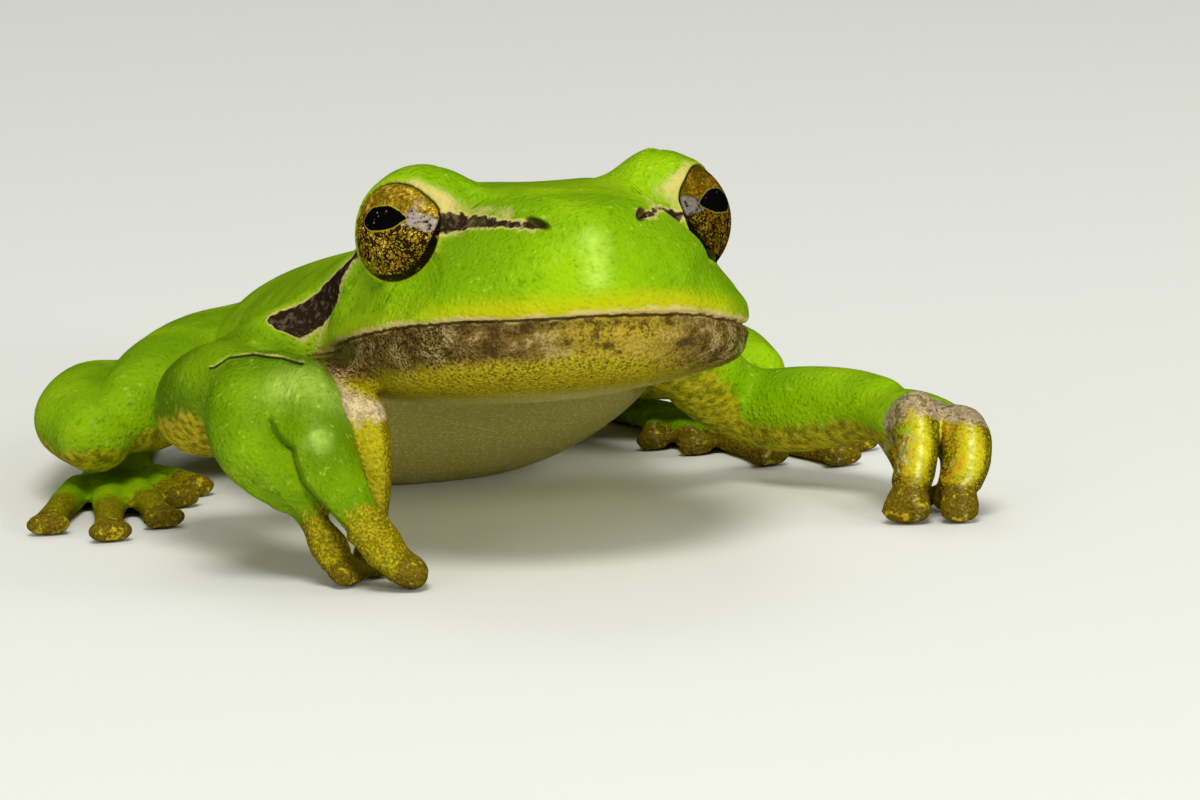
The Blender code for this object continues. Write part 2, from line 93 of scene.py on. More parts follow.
def pathDistance(points, path):
    # least distance to the legs of a path, and how far along it (0 to 1) the nearest point lies
    path = np.asarray(path, float)
    best = np.full(len(points), np.inf)
    along = np.zeros(len(points))
    count = len(path) - 1
    for k in range(count):
        leg = path[k + 1] - path[k]
        t = np.clip((points - path[k]) @ leg / (leg @ leg), 0.0, 1.0)
        gap = np.linalg.norm(points - path[k] - t[:, None] * leg, axis=1)
        nearer = gap < best
        best = np.where(nearer, gap, best)
        along = np.where(nearer, (k + t) / count, along)
    return best, along


def gapTo(points, path):
    # least distance to a path
    return pathDistance(points, path)[0]


def gridFaces(rows, around):
    # quads between rows of points that close on themselves
    k = np.arange(around)
    following = (k + 1) % around
    r = np.arange(rows - 1)[:, None] * around
    return np.stack([r + k, r + following, r + around + following, r + around + k], axis=-1).reshape(-1, 4)


def closedShell(rings, start, end):
    # a row of rings with a pole at each end; a pole's faces are quads with two corners on the pole's ring
    rows, around = rings.shape[:2]
    rings = np.concatenate([np.broadcast_to(start, (1, around, 3)), rings,
                            np.broadcast_to(end, (1, around, 3))])
    return rings.reshape(-1, 3), gridFaces(rows + 2, around)


# the frog's measures, in millimetres
body = {
    "headPitch": math.radians(5.0), "lidRadius": 2.65, "snoutToEyes": 7.58,
    "topPole": (0.0, 3.0, 1.45), "throatPole": (0.0, 2.5, -6.5), "headBack": 9.0, "napeDrop": 1.6,
    # level outlines of the head: half-width, centre y, front y, roundness, z in front, z at the side
    "headOutlines": ((2.6, 3.0, -1.4, 2.0, -6.35, -6.45), (4.9, 3.0, -4.6, 2.1, -5.75, -6.2),
                     (6.6, 2.5, -6.35, 2.2, -5.0, -5.7), (7.35, 2.0, -6.95, 2.2, -4.1, -4.9),
                     (7.65, 2.0, -7.25, 2.2, -3.1, -4.1), (7.75, 2.0, -7.4, 2.2, -2.4, -3.3),
                     (7.25, 2.2, -7.4, 2.1, -1.4, -2.0), (6.4, 3.0, -7.2, 1.8, -0.5, -0.6),
                     (5.7, 4.0, -6.8, 1.6, 0.25, 0.6), (4.7, 4.0, -5.9, 1.7, 0.8, 1.15),
                     (2.8, 4.0, -3.4, 1.9, 1.3, 1.4)),
    "trunkRoundness": 2.25,
    # upright rings of the trunk: y, top, bottom, half-width
    "trunkRings": ((-13.4, 11.2, 7.0, 5.0), (-12.0, 12.7, 5.6, 6.8), (-7.5, 11.6, 3.7, 7.6),
                   (-1.5, 10.2, 0.9, 8.2), (4.5, 9.2, -0.6, 8.1), (11.0, 8.0, -0.7, 6.9),
                   (16.0, 6.7, -0.3, 5.3), (19.6, 4.9, 0.5, 3.7), (21.3, 4.0, 1.3, 2.0)),
}
eye = {
    "x": 4.7, "leftShift": (-0.12, 0.0, -0.3), "radius": 2.35,
    # the way the opening faces, and its half-axes
    "turn": math.radians(53.5), "lift": math.radians(8.7), "halfLength": 1.92, "halfHeight": 1.79,
    # the corner in front, and the left one's tip below: share that each adds, its turn, its width
    "corner": 0.05, "cornerTurn": 0.42, "cornerWidth": 0.3, "tip": 0.12, "tipTurn": -2.07, "tipWidth": 0.45,
    # the brow over the front corner
    "browTurn": 0.65, "browWidth": 0.65, "browReach": 4.0,
}

headLow, headHigh = (np.array(corner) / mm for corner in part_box("head"))
eyeMid = np.array([0.0, headLow[1] + body["snoutToEyes"], headHigh[2] - body["lidRadius"]])
print("eyes' middle at", np.round(eyeMid, 2), "mm")

up = (0.0, 0.0, 1.0)
handBack = {"right": (-0.5, -0.57, 0.62), "left": (0.0, -0.6, 0.8)}
# stretches of limb: stations of x, y, z, half-width, half-height
arms = {
    "right": {
        "upper_arm": ((-4.8, -8.6, 8.2, 1.7, 1.7), (-7.2, -7.4, 7.4, 1.7, 1.8), (-9.2, -5.9, 6.2, 1.7, 1.75),
                      (-10.6, -4.9, 5.1, 1.75, 1.75)),
        "forearm": ((-10.6, -4.9, 5.0, 1.75, 1.75), (-11.1, -7.0, 5.4, 2.2, 2.1),
                    (-11.0, -9.2, 6.0, 2.15, 2.0), (-10.7, -11.3, 6.4, 1.65, 1.55)),
        "hand": ((-10.5, -12.4, 6.5, 1.4, 1.25), (-10.4, -13.9, 6.4, 1.95, 1.35),
                 (-10.3, -15.4, 5.5, 2.3, 1.3), (-10.1, -16.4, 4.2, 1.9, 1.0)),
        "finger_3": ((-9.7, -15.6, 5.8, 1.1, 1.05), (-9.5, -16.9, 4.7, 1.1, 1.0),
                     (-8.9, -18.2, 3.2, 0.88, 0.8), (-8.15, -19.2, 1.95, 0.82, 0.66),
                     (-7.65, -19.5, 1.1, 1.0, 0.66), (-7.0, -19.6, 0.6, 1.18, 0.6)),
        "finger_4": ((-10.6, -15.4, 4.6, 0.95, 0.9), (-10.15, -16.4, 3.1, 0.84, 0.78),
                     (-9.65, -17.1, 1.9, 0.74, 0.66), (-9.2, -17.5, 0.95, 0.7, 0.52),
                     (-8.8, -17.9, 0.42, 0.98, 0.42)),
        "finger_2": ((-8.1, -15.0, 6.6, 0.95, 0.9), (-7.7, -16.2, 5.9, 0.9, 0.85),
                     (-7.5, -16.8, 4.6, 0.76, 0.72), (-7.5, -16.7, 2.9, 0.64, 0.6),
                     (-7.6, -16.4, 1.3, 0.6, 0.5), (-7.7, -17.0, 0.42, 0.88, 0.42)),
        "finger_1": ((-8.9, -13.8, 5.9, 0.8, 0.75), (-8.5, -14.6, 4.9, 0.7, 0.65),
                     (-8.35, -15.0, 3.8, 0.6, 0.55), (-8.35, -15.1, 2.9, 0.72, 0.45)),
    },
    "left": {
        "upper_arm": ((4.8, -8.4, 7.4, 1.7, 1.7), (7.0, -7.2, 5.9, 1.65, 1.75), (9.0, -5.6, 4.0, 1.5, 1.6),
                      (10.6, -4.6, 2.8, 1.4, 1.45)),
        "forearm": ((10.6, -4.6, 2.7, 1.4, 1.45), (11.8, -6.9, 2.9, 1.75, 1.65), (13.0, -9.2, 3.2, 1.6, 1.5),
                    (14.0, -11.3, 3.4, 1.25, 1.2)),
        "hand": ((14.2, -12.0, 3.2, 1.2, 1.05), (14.4, -13.5, 3.3, 1.55, 1.0), (14.5, -15.0, 3.25, 1.7, 0.9),
                 (14.5, -15.9, 3.1, 1.4, 0.8)),
        "finger_3": ((15.35, -15.0, 3.1, 0.85, 0.8), (15.55, -16.5, 3.1, 0.84, 0.84),
                     (15.35, -17.4, 2.2, 0.74, 0.78), (14.9, -17.6, 1.2, 0.66, 0.62),
                     (14.6, -18.3, 0.5, 0.74, 0.5)),
        "finger_2": ((13.9, -14.6, 3.4, 0.88, 0.82), (13.8, -15.9, 3.45, 0.8, 0.86),
                     (13.57, -16.8, 2.5, 0.68, 0.8), (13.27, -16.8, 1.3, 0.68, 0.64),
                     (12.85, -17.4, 0.5, 0.96, 0.5)),
        "finger_4": ((15.6, -14.2, 2.7, 0.78, 0.72), (15.8, -14.9, 1.9, 0.65, 0.62),
                     (15.5, -15.3, 1.0, 0.58, 0.5), (15.2, -16.0, 0.42, 0.8, 0.42)),
        "finger_1": ((14.0, -13.0, 2.7, 0.75, 0.7), (14.2, -13.7, 1.8, 0.62, 0.58),
                     (14.3, -14.1, 0.95, 0.55, 0.5), (14.35, -14.8, 0.42, 0.72, 0.42)),
    },
}
# the two puffed lobes on the back of the right hand, with a crease between them, and a roll at the wrist
lobes = {
    "inner": ((-9.6, -13.7, 6.9, 0.9, 0.85), (-9.35, -14.9, 6.75, 1.15, 1.15),
              (-9.35, -15.9, 6.1, 1.28, 1.25), (-9.4, -16.8, 5.1, 1.25, 1.25), (-9.2, -17.5, 4.2, 1.08, 1.0),
              (-8.8, -18.2, 3.2, 0.88, 0.8)),
    "wrist": ((-11.2, -12.0, 6.9, 0.7, 0.7), (-10.4, -12.4, 7.15, 0.8, 0.8), (-9.5, -13.0, 7.15, 0.75, 0.75)),
    "outer": ((-11.0, -12.7, 6.7, 1.3, 1.15), (-11.4, -13.9, 6.25, 1.45, 1.3), (-11.5, -14.9, 5.35, 1.5, 1.3),
              (-11.1, -15.7, 4.3, 1.35, 1.2), (-10.5, -16.3, 3.4, 1.05, 1.0)),
}
# the folded leg of the left side; the right one is its mirror image
leg = {
    "thigh": ((2.9, 17.2, 3.4, 2.4, 2.2), (6.0, 13.4, 3.7, 2.6, 2.3), (9.0, 8.8, 3.7, 2.4, 2.15),
              (11.0, 5.2, 3.5, 1.9, 1.8), (11.8, 4.0, 3.3, 1.45, 1.4)),
    "shank": ((13.4, 3.2, 2.8, 1.45, 1.35), (13.3, 6.8, 3.0, 1.75, 1.55), (11.7, 11.8, 3.0, 1.7, 1.5),
              (9.7, 16.4, 2.6, 1.4, 1.2), (8.5, 19.4, 2.2, 1.25, 1.15)),
    "tarsus": ((8.2, 19.9, 0.95, 1.15, 0.9), (8.9, 16.6, 0.7, 0.95, 0.7), (10.1, 12.9, 0.6, 1.05, 0.65),
               (11.0, 10.0, 0.55, 1.25, 0.6)),
    "foot": ((11.0, 9.8, 0.5, 1.3, 0.6), (11.8, 7.2, 0.45, 1.6, 0.55), (12.3, 5.0, 0.45, 1.9, 0.55)),
    "toe_4": ((12.6, 5.2, 0.5, 0.8, 0.55), (13.3, 1.8, 0.5, 0.7, 0.52), (14.1, -1.7, 0.48, 0.54, 0.5),
              (14.5, -3.5, 0.44, 0.62, 0.45), (14.6, -4.2, 0.42, 0.9, 0.42)),
    "toe_5": ((13.6, 5.6, 0.5, 0.75, 0.55), (14.7, 3.0, 0.5, 0.65, 0.52), (15.7, 0.5, 0.48, 0.52, 0.5),
              (16.2, -0.7, 0.44, 0.6, 0.45), (16.4, -1.4, 0.42, 0.88, 0.42)),
    "toe_3": ((11.8, 5.0, 0.5, 0.7, 0.55), (11.95, 2.1, 0.5, 0.62, 0.52), (12.1, -0.5, 0.48, 0.52, 0.5),
              (12.15, -1.8, 0.44, 0.6, 0.45), (12.15, -2.5, 0.42, 0.88, 0.42)),
    "toe_2": ((11.0, 5.4, 0.5, 0.6, 0.52), (10.7, 3.4, 0.48, 0.52, 0.5), (10.55, 2.2, 0.44, 0.55, 0.45),
              (10.5, 1.6, 0.42, 0.78, 0.42)),
    "toe_1": ((10.4, 6.4, 0.5, 0.55, 0.5), (9.8, 5.0, 0.48, 0.5, 0.48), (9.5, 4.2, 0.44, 0.52, 0.45),
              (9.35, 3.7, 0.42, 0.72, 0.42)),
}
legs = {
    "left": leg,
    "right": {stretch: tuple((-row[0], *row[1:]) for row in rows) for stretch, rows in leg.items()},
}


def toHead(points):
    # the head's own frame: origin midway between the eyes, turned by the pitch about x
    x, y, z = (points - eyeMid).T
    c, s = math.cos(body["headPitch"]), math.sin(body["headPitch"])
    return np.column_stack([x, y * c - z * s, y * s + z * c])


def fromHead(points):
    # back from the head's frame to the world, in millimetres
    x, y, z = np.asarray(points, float).T
    c, s = math.cos(body["headPitch"]), math.sin(body["headPitch"])
    return np.column_stack([x, y * c + z * s, -y * s + z * c]) + eyeMid


def limbShell(stations, around=40, steps=10, backStart=up, backEnd=up):
    # an oval section, centre + w cos(a) side + h sin(a) top, carried along a smooth path with round ends
    rows = smoothRows(stations, steps)
    centres, halves = rows[:, :3], rows[:, 3:]
    along = unit(np.gradient(centres, axis=0))
    share = np.linspace(0.0, 1.0, len(rows))[:, None]
    side = unit(np.cross(along, (1 - share) * np.array(backStart) + share * np.array(backEnd)))
    top = np.cross(side, along)
    lean = np.radians([75.0, 60.0, 45.0, 30.0, 15.0])
    at = np.concatenate([np.zeros(len(lean), int), np.arange(len(rows)), np.full(len(lean), len(rows) - 1)])
    reach = np.concatenate([-np.sin(lean), np.zeros(len(rows)), np.sin(lean[::-1])])
    shrink = np.concatenate([np.cos(lean), np.ones(len(rows)), np.cos(lean[::-1])])
    middle = centres[at] + (reach * halves[at].min(axis=1))[:, None] * along[at]
    turn = np.arange(around) * 2 * math.pi / around
    sideways = (shrink * halves[at, 0])[:, None, None] * np.cos(turn)[None, :, None] * side[at][:, None]
    upwards = (shrink * halves[at, 1])[:, None, None] * np.sin(turn)[None, :, None] * top[at][:, None]
    ends = [centres[k] + sign * halves[k].min() * along[k] for k, sign in ((0, -1), (-1, 1))]
    return closedShell(middle[:, None] + sideways + upwards, *ends)


def headShell(around=120):
    # stacked level outlines: x = w cos^(2/n), y = centre - reach sin^(2/n), z falling back from front to side
    rows = smoothRows(body["headOutlines"], 6)
    turn = np.arange(around) * 2 * math.pi / around
    halfWidth, centreY, frontY, roundness, frontZ, sideZ = (column[:, None] for column in rows.T)
    forward = np.maximum(np.sin(turn), 0.0)[None]
    backward = np.maximum(-np.sin(turn), 0.0)[None]
    x = halfWidth * power(np.cos(turn)[None], 2 / roundness)
    y = centreY - (centreY - frontY) * power(forward, 2 / roundness) + (body["headBack"] - centreY) * backward
    z = sideZ + (frontZ - sideZ) * forward ** 1.5 - body["napeDrop"] * np.maximum(sideZ, 0.0) * backward ** 2
    points, faces = closedShell(np.stack([x, y, z], axis=-1), body["throatPole"], body["topPole"])
    return fromHead(points), faces


def trunkShell(around=96):
    # upright rings: x = w cos^(2/n), z = middle + h sin^(2/n)
    rows = smoothRows(body["trunkRings"], 8)
    turn = np.arange(around) * 2 * math.pi / around
    y, top, bottom, halfWidth = (column[:, None] for column in rows.T)
    x = halfWidth * power(np.cos(turn)[None], 2 / body["trunkRoundness"])
    z = 0.5 * (top + bottom) + 0.5 * (top - bottom) * power(np.sin(turn)[None], 2 / body["trunkRoundness"])
    rings = np.stack([x, np.broadcast_to(y, x.shape), z], axis=-1)
    ends = [(0.0, rows[k, 0] + step, rows[k, 1:3].mean()) for k, step in ((0, -1.0), (-1, 0.6))]
    return closedShell(rings, *ends)


def ballShell(centre, radius, around=48, rows=23):
    # a ball: radius (sin p cos t, sin p sin t, cos p)
    polar = (np.arange(rows) + 1) * math.pi / (rows + 1)
    turn = np.arange(around) * 2 * math.pi / around
    rings = np.stack([np.outer(np.sin(polar), np.cos(turn)), np.outer(np.sin(polar), np.sin(turn)),
                      np.repeat(np.cos(polar)[:, None], around, 1)], axis=-1) * radius
    points, faces = closedShell(rings, (0.0, 0.0, radius), (0.0, 0.0, -radius))
    return points + centre, faces


def eyeAxes(side):
    # centre in the head's frame, the opening's axis, and the directions of its length and its height
    axis = np.array([side * math.sin(eye["turn"]) * math.cos(eye["lift"]),
                     -math.cos(eye["turn"]) * math.cos(eye["lift"]), math.sin(eye["lift"])])
    length = unit(np.cross(axis, up))
    centre = np.array([side * eye["x"], 0.0, 0.0]) + (side > 0) * np.array(eye["leftShift"])
    return centre, axis, length, np.cross(length, axis)


shells = [headShell(), trunkShell()]
for side in (-1, 1):
    centre = fromHead([(side * eye["x"], 0.0, 0.0)])[0]
    shells.append(ballShell(centre, body["lidRadius"]))
for word, limbs in arms.items():
    for stretch, rows in limbs.items():
        fine = stretch.startswith(("hand", "finger"))
        back = handBack[word] if fine else up
        shells.append(limbShell(rows, backStart=back, backEnd=up if stretch.startswith("finger") else back))
shells += [limbShell(rows, backStart=handBack["right"], backEnd=handBack["right"]) for rows in lobes.values()]
for limbs in legs.values():
    shells += [limbShell(rows) for rows in limbs.values()]
print("shells:", len(shells))


skin = {
    # size of the even faces, the share that the body keeps, passes of smoothing, a pass's outward step
    "voxel": 0.165, "bodyShare": 0.16, "evenPasses": 8, "backPasses": 8, "jointPasses": 26, "eyePasses": 70,
    "headPasses": 5, "inflate": 0.62,
    # the head and the hands keep all faces, and so do the toes: y in front of which, and the toes' x, z and y
    "frontY": -8.2, "sideX": 8.8, "sideZ": 1.4, "sideY": 6.5,
    # reach of the smoothing where limbs join
    "elbow": 1.9, "shoulder": 3.0, "hip": 3.2, "heel": 1.2, "sole": 1.1, "neckAt": 7.6, "neckWidth": 2.2,
    # places that get half-size faces: around the eyes, at the mouth and nostrils, along the creases
    "fineRho": (0.86, 1.2), "fineEye": 5.4, "fineLip": 0.5, "fineLipBack": 6.4, "fineNostril": 0.7,
    "fineCrease": 0.36,
    "padGroove": 0.09, "padGrooveAt": 0.8, "padGrooveWidth": 0.03,
    "fuller": ("leftArm finger_2", "leftArm finger_3"), "fullerBy": 0.11,
}


def meshFrom(name, points, faces):
    # a mesh of the given points and faces
    mesh = bpy.data.meshes.new(name)
    mesh.from_pydata(np.asarray(points).tolist(), [], np.asarray(faces).tolist())
    return mesh


def welded(mesh, reach):
    # joins points closer than the reach and turns all faces outwards
    bm = bmesh.new()
    bm.from_mesh(mesh)
    bmesh.ops.remove_doubles(bm, verts=bm.verts, dist=reach)
    bmesh.ops.recalc_face_normals(bm, faces=bm.faces)
    bm.to_mesh(mesh)
    bm.free()
    return mesh


def placed(name, mesh):
    # a new object of the scene that shows the mesh
    obj = bpy.data.objects.new(name, mesh)
    bpy.context.scene.collection.objects.link(obj)
    return obj


def applied(obj):
    # the mesh that the object's modifiers give
    bpy.context.view_layer.update()
    mesh = bpy.data.meshes.new_from_object(obj.evaluated_get(bpy.context.evaluated_depsgraph_get()))
    bpy.data.objects.remove(obj)
    return mesh


def drawnOver(shellList, voxel):
    # the shells' union, as an even skin of quads
    start, points, faces = 0, [], []
    for shellPoints, shellFaces in shellList:
        points.append(shellPoints)
        faces.append(shellFaces + start)
        start += len(shellPoints)
    obj = placed("shells", welded(meshFrom("shells", np.vstack(points), np.vstack(faces)), 1e-5))
    modifier = obj.modifiers.new("even skin", "REMESH")
    modifier.mode = "VOXEL"
    modifier.voxel_size = voxel
    modifier.adaptivity = 0.0
    return applied(obj)


def pointsOf(mesh):
    # the mesh's points as rows of x, y, z
    flat = np.empty(len(mesh.vertices) * 3)
    mesh.vertices.foreach_get("co", flat)
    return flat.reshape(-1, 3)


def edgesOf(mesh):
    # the two end points of each edge
    flat = np.empty(len(mesh.edges) * 2, int)
    mesh.edges.foreach_get("vertices", flat)
    return flat.reshape(-1, 2)


def setPoints(mesh, points):
    # moves the mesh's points to these places
    mesh.vertices.foreach_set("co", np.asarray(points, np.float32).ravel())
    mesh.update()


def normalsOf(mesh):
    # the way the surface faces at each point
    flat = np.empty(len(mesh.vertices) * 3, np.float32)
    mesh.vertex_normals.foreach_get("vector", flat)
    return flat.reshape(-1, 3).astype(float)


def relaxed(points, edges, weight, passes, inflate=0.0):
    # each pass moves a point towards its neighbours' mean; a second, outward step keeps the volume
    count = len(points)
    ends = np.concatenate([edges[:, 0], edges[:, 1]])
    others = np.concatenate([edges[:, 1], edges[:, 0]])
    degree = np.maximum(np.bincount(ends, minlength=count), 1)[:, None]
    for _ in range(passes):
        for factor in (0.6, -inflate) if inflate else (0.6,):
            mean = np.column_stack([np.bincount(ends, points[others, k], count) for k in range(3)]) / degree
            points = points + factor * weight[:, None] * (mean - points)
    return points


def subdivided(mesh, chosen):
    # splits every edge whose two points are chosen
    bm = bmesh.new()
    bm.from_mesh(mesh)
    bm.verts.ensure_lookup_table()
    edges = [edge for edge in bm.edges if chosen[edge.verts[0].index] and chosen[edge.verts[1].index]]
    bmesh.ops.subdivide_edges(bm, edges=edges, cuts=1, use_grid_fill=True)
    bm.to_mesh(mesh)
    bm.free()


def thinned(mesh, weight, share):
    # keeps a share of the faces where the weight is high
    obj = placed("thinned", mesh)
    obj.vertex_groups.new(name="thin").add(np.flatnonzero(weight > 0.5).tolist(), 1.0, "REPLACE")
    modifier = obj.modifiers.new("thin", "DECIMATE")
    modifier.ratio = 1 - (1 - share) * np.mean(weight > 0.5)
    modifier.vertex_group = "thin"
    modifier.vertex_group_factor = 1000.0
    return applied(obj)


def onePiece(mesh):
    # drops the small closed pockets that the union leaves inside: only the piece with the most points stays
    bm = bmesh.new()
    bm.from_mesh(mesh)
    left, pieces = set(bm.verts), []
    while left:
        waiting, piece = [left.pop()], []
        while waiting:
            vert = waiting.pop()
            piece.append(vert)
            reached = {edge.other_vert(vert) for edge in vert.link_edges} & left
            left -= reached
            waiting.extend(reached)
        pieces.append(piece)
    pieces.sort(key=len)
    bmesh.ops.delete(bm, geom=[vert for piece in pieces[:-1] for vert in piece], context="VERTS")
    bm.to_mesh(mesh)
    bm.free()
    print("pockets dropped:", len(pieces) - 1)


def headExcess(local):
    # how far outside the head's outline at its own height a point lies: (|x|/w)^n + (reach/depth)^n, 1 on it
    rows = smoothRows(body["headOutlines"], 6)
    heights = rows[:, 5]
    halfWidth, centreY, frontY, roundness = (np.interp(local[:, 2], heights, rows[:, k]) for k in range(4))
    reach = np.where(local[:, 1] < centreY, (centreY - local[:, 1]) / (centreY - frontY),
                     (local[:, 1] - centreY) / (body["headBack"] - centreY))
    return (np.abs(local[:, 0]) / halfWidth) ** roundness + np.abs(reach) ** roundness


def aroundEye(local, side):
    # directions from the eye's centre, and their angle round its axis: 0 at the front corner of the lids
    centre, _, length, height = eyeAxes(side)
    away = unit(local - centre)
    return away, np.arctan2(away @ height, away @ length * side)


def openingRho(local, side):
    # hypot(across / half-length, up / half-height): 1 on the lids' edge, 0 on the axis; 9 behind the eye
    _, axis, length, height = eyeAxes(side)
    away, towards = aroundEye(local, side)
    rho = np.hypot(away @ length * eye["radius"] / eye["halfLength"],
                   away @ height * eye["radius"] / eye["halfHeight"])
    # the opening is drawn out to a corner at its front, and the left one to a tip below
    rho = rho / (1 + eye["corner"] * bump(towards - eye["cornerTurn"], eye["cornerWidth"])
                 + (side > 0) * eye["tip"] * bump(towards - eye["tipTurn"], eye["tipWidth"]))
    return np.where(away @ axis > 0, rho, 9.0)


def lidFront(local, side):
    # 1 at the front corner of the lids and on the brow next to it, 0 elsewhere
    _, towards = aroundEye(local, side)
    return (bump(towards - eye["browTurn"], eye["browWidth"])
            * (distance(local, eyeAxes(side)[0]) < eye["browReach"]))


def bothRho(local):
    # the openings' edges of both eyes at once
    return np.minimum(openingRho(local, -1), openingRho(local, 1))


def eyeDistance(local):
    # distance from the nearer eye's centre
    return np.minimum(*(distance(local, eyeAxes(side)[0]) for side in (-1, 1)))


mouth = {
    # the line between the lips, as y and z in the head's frame, on each side
    "right": ((-7.4, -3.08), (-5.6, -2.94), (-3.5, -3.04), (-0.2, -3.46), (2.0, -3.8), (4.4, -4.15),
              (14.0, -5.2)),
    "left": ((-7.4, -3.14), (-6.1, -3.45), (-5.4, -3.68), (-3.0, -4.1), (0.0, -4.4), (4.4, -4.6),
             (14.0, -5.2)),
    "fade": (4.8, 6.8), "groove": 0.2, "grooveWidth": 0.08, "lip": 0.1, "lipWidth": 0.3, "lipHeight": 0.3,
    "inset": 0.2, "roll": 0.16, "rollHeight": -0.8, "rollWidth": 0.4, "leftBulge": 0.38,
    # x between which the right line runs over into the left one
    "swap": (-1.5, 2.5),
}
nostril = {
    "at": (1.9, 0.3), "slant": 0.55, "long": 0.8, "high": 1.5, "backTo": -3.5,
    "pit": 0.34, "pitWidth": 0.16, "rim": 0.05, "rimAt": 0.36, "rimWidth": 0.14,
}


def lipHeight(local):
    # height above the line of the mouth
    ends = [np.interp(local[:, 1], *np.array(mouth[word]).T) for word in ("right", "left")]
    share = rise(local[:, 0], *mouth["swap"])
    return local[:, 2] - (ends[0] + share * (ends[1] - ends[0]))


def nostrilGap(local):
    # an oval, wider than high and slanting up outwards, measured across the snout
    across, above = np.abs(local[:, 0]) - nostril["at"][0], local[:, 2] - nostril["at"][1]
    along = across * math.cos(nostril["slant"]) + above * math.sin(nostril["slant"])
    over = above * math.cos(nostril["slant"]) - across * math.sin(nostril["slant"])
    return np.hypot(nostril["long"] * along, nostril["high"] * over) + 9.0 * (local[:, 1] > nostril["backTo"])


# digit, share of its length where gold starts, share up to which it is beige
digits = (
    ("rightArm finger_3", 0.5, 0.0), ("rightArm finger_4", 0.38, 0.0), ("rightArm finger_2", 0.05, 0.3),
    ("rightArm finger_1", 0.05, 0.4), ("leftArm finger_3", 0.16, 0.34), ("leftArm finger_2", 0.16, 0.34),
    ("leftArm finger_4", 0.2, 0.2), ("leftArm finger_1", 0.2, 0.2),
    *((side + "Leg toe_" + str(k), 0.35, 0.0) for side in ("right", "left") for k in range(1, 6)),
)

creases = {
    # lines on the right hand and wrist, measured across the way the back of the hand faces
    "facing": (-0.28, -0.95, 0.16), "handReach": 2.2, "wristReach": 2.5,
    # depth and width of the two creases
    "cuts": (("hand", 0.3, 0.15), ("wrist", 0.2, 0.1)), "lipWidth": 3.2, "lip": 0.35,
    "hand": ((-11.05, -16.4, 5.95), (-10.97, -16.6, 5.55), (-10.75, -16.95, 5.15), (-10.5, -17.2, 5.0),
             (-10.47, -17.35, 4.5), (-10.3, -17.5, 3.85), (-9.8, -17.9, 3.05), (-9.45, -18.45, 2.55),
             (-9.15, -18.9, 2.15)),
    "wrist": ((-11.85, -11.4, 7.32), (-11.3, -11.55, 7.66), (-10.65, -12.6, 7.86), (-10.3, -13.57, 7.86),
              (-9.95, -14.16, 7.86), (-9.55, -15.21, 7.76)),
    "knob": (-9.7, -17.9, 5.35), "knobRise": 0.16, "knobWidth": 0.55,
    "knuckle": (13.75, -15.9, 4.3), "knuckleRise": 0.32, "knuckleWidth": 0.8,
    "tuck": ((-11.9, -16.3, 3.7), (-11.1, -16.7, 2.7),
             (-10.4, -16.9, 2.2)), "tuckDepth": 0.36, "tuckWidth": 0.75,
}


def creaseGap(points, name, deep=False):
    # distance from a crease, seen the way the hand faces; 9 more beyond its reach in depth
    facing = unit(creases["facing"])
    path = np.array(creases[name])
    flat = points - (points @ facing)[:, None] * facing
    flatPath = path - (path @ facing)[:, None] * facing
    behind = path.mean(axis=0) @ facing - points @ facing
    return gapTo(flat, flatPath) + 9.0 * (behind > creases["wristReach" if deep else name + "Reach"])


def creaseHeight(points, name):
    # height above a crease that runs across, seen the way the hand faces; 1 away from it
    facing = unit(creases["facing"])
    across = unit(np.cross(up, facing))
    tall = np.cross(facing, across)
    path = np.array(creases[name])
    height = points @ tall - np.interp(points @ across, path @ across, path @ tall)
    return np.where(creaseGap(points, name) < 0.2, height, 1.0)


skinMesh = drawnOver(shells, skin["voxel"])
print("skin drawn:", len(skinMesh.polygons), "faces")
points = pointsOf(skinMesh)
x, y, z = points.T
fine = (y < skin["frontY"]) | ((np.abs(x) > skin["sideX"]) & (z < skin["sideZ"]) & (y < skin["sideY"]))
skinMesh = thinned(skinMesh, np.where(fine, 0.0, 1.0), skin["bodyShare"])
onePiece(skinMesh)
print("skin thinned:", len(skinMesh.polygons), "faces")

points = pointsOf(skinMesh)
edges = edgesOf(skinMesh)
points = relaxed(points, edges, np.ones(len(points)), skin["evenPasses"], skin["inflate"])


def stretchShare(points, limbs):
    # for each stretch of limb: distance to its path over its width there, and the share of its length
    shares = {}
    for stretch, rows in limbs.items():
        rows = np.array(rows)
        gap, along = pathDistance(points, rows[:, :3])
        width = np.interp(along, np.linspace(0, 1, len(rows)), rows[:, 3])
        shares[stretch] = (gap / width, along)
    return shares


def jointWeight(points):
    # 1 where two stretches of limb meet, or a limb meets the trunk, so that no crease of the union stays
    joints = [(arms[word][a][-1][:3], skin["elbow"]) for word in arms for a in ("upper_arm", "forearm")]
    joints += [(arms[word]["upper_arm"][0][:3], skin["shoulder"]) for word in arms]
    joints += [(legs[word][a][k][:3], skin[reach]) for word in legs
               for a, k, reach in (("thigh", 0, "hip"), ("tarsus", -1, "heel"), ("foot", -1, "sole"))]
    weight = np.zeros(len(points))
    for joint, reach in joints:
        weight = np.maximum(weight, bump(distance(points, joint), reach))
    return weight


def neckWeight(local):
    # 1 where the head runs into the trunk
    return bump(local[:, 1] - skin["neckAt"], skin["neckWidth"]) * (local[:, 2] > -6.0)


def eyeRoot(local):
    # 1 on the crease between an eye's dome and the head, 0 on the dome's own crown
    return rise(bothRho(local), 1.02, 1.3) * fall(eyeDistance(local), 3.3, 4.6)


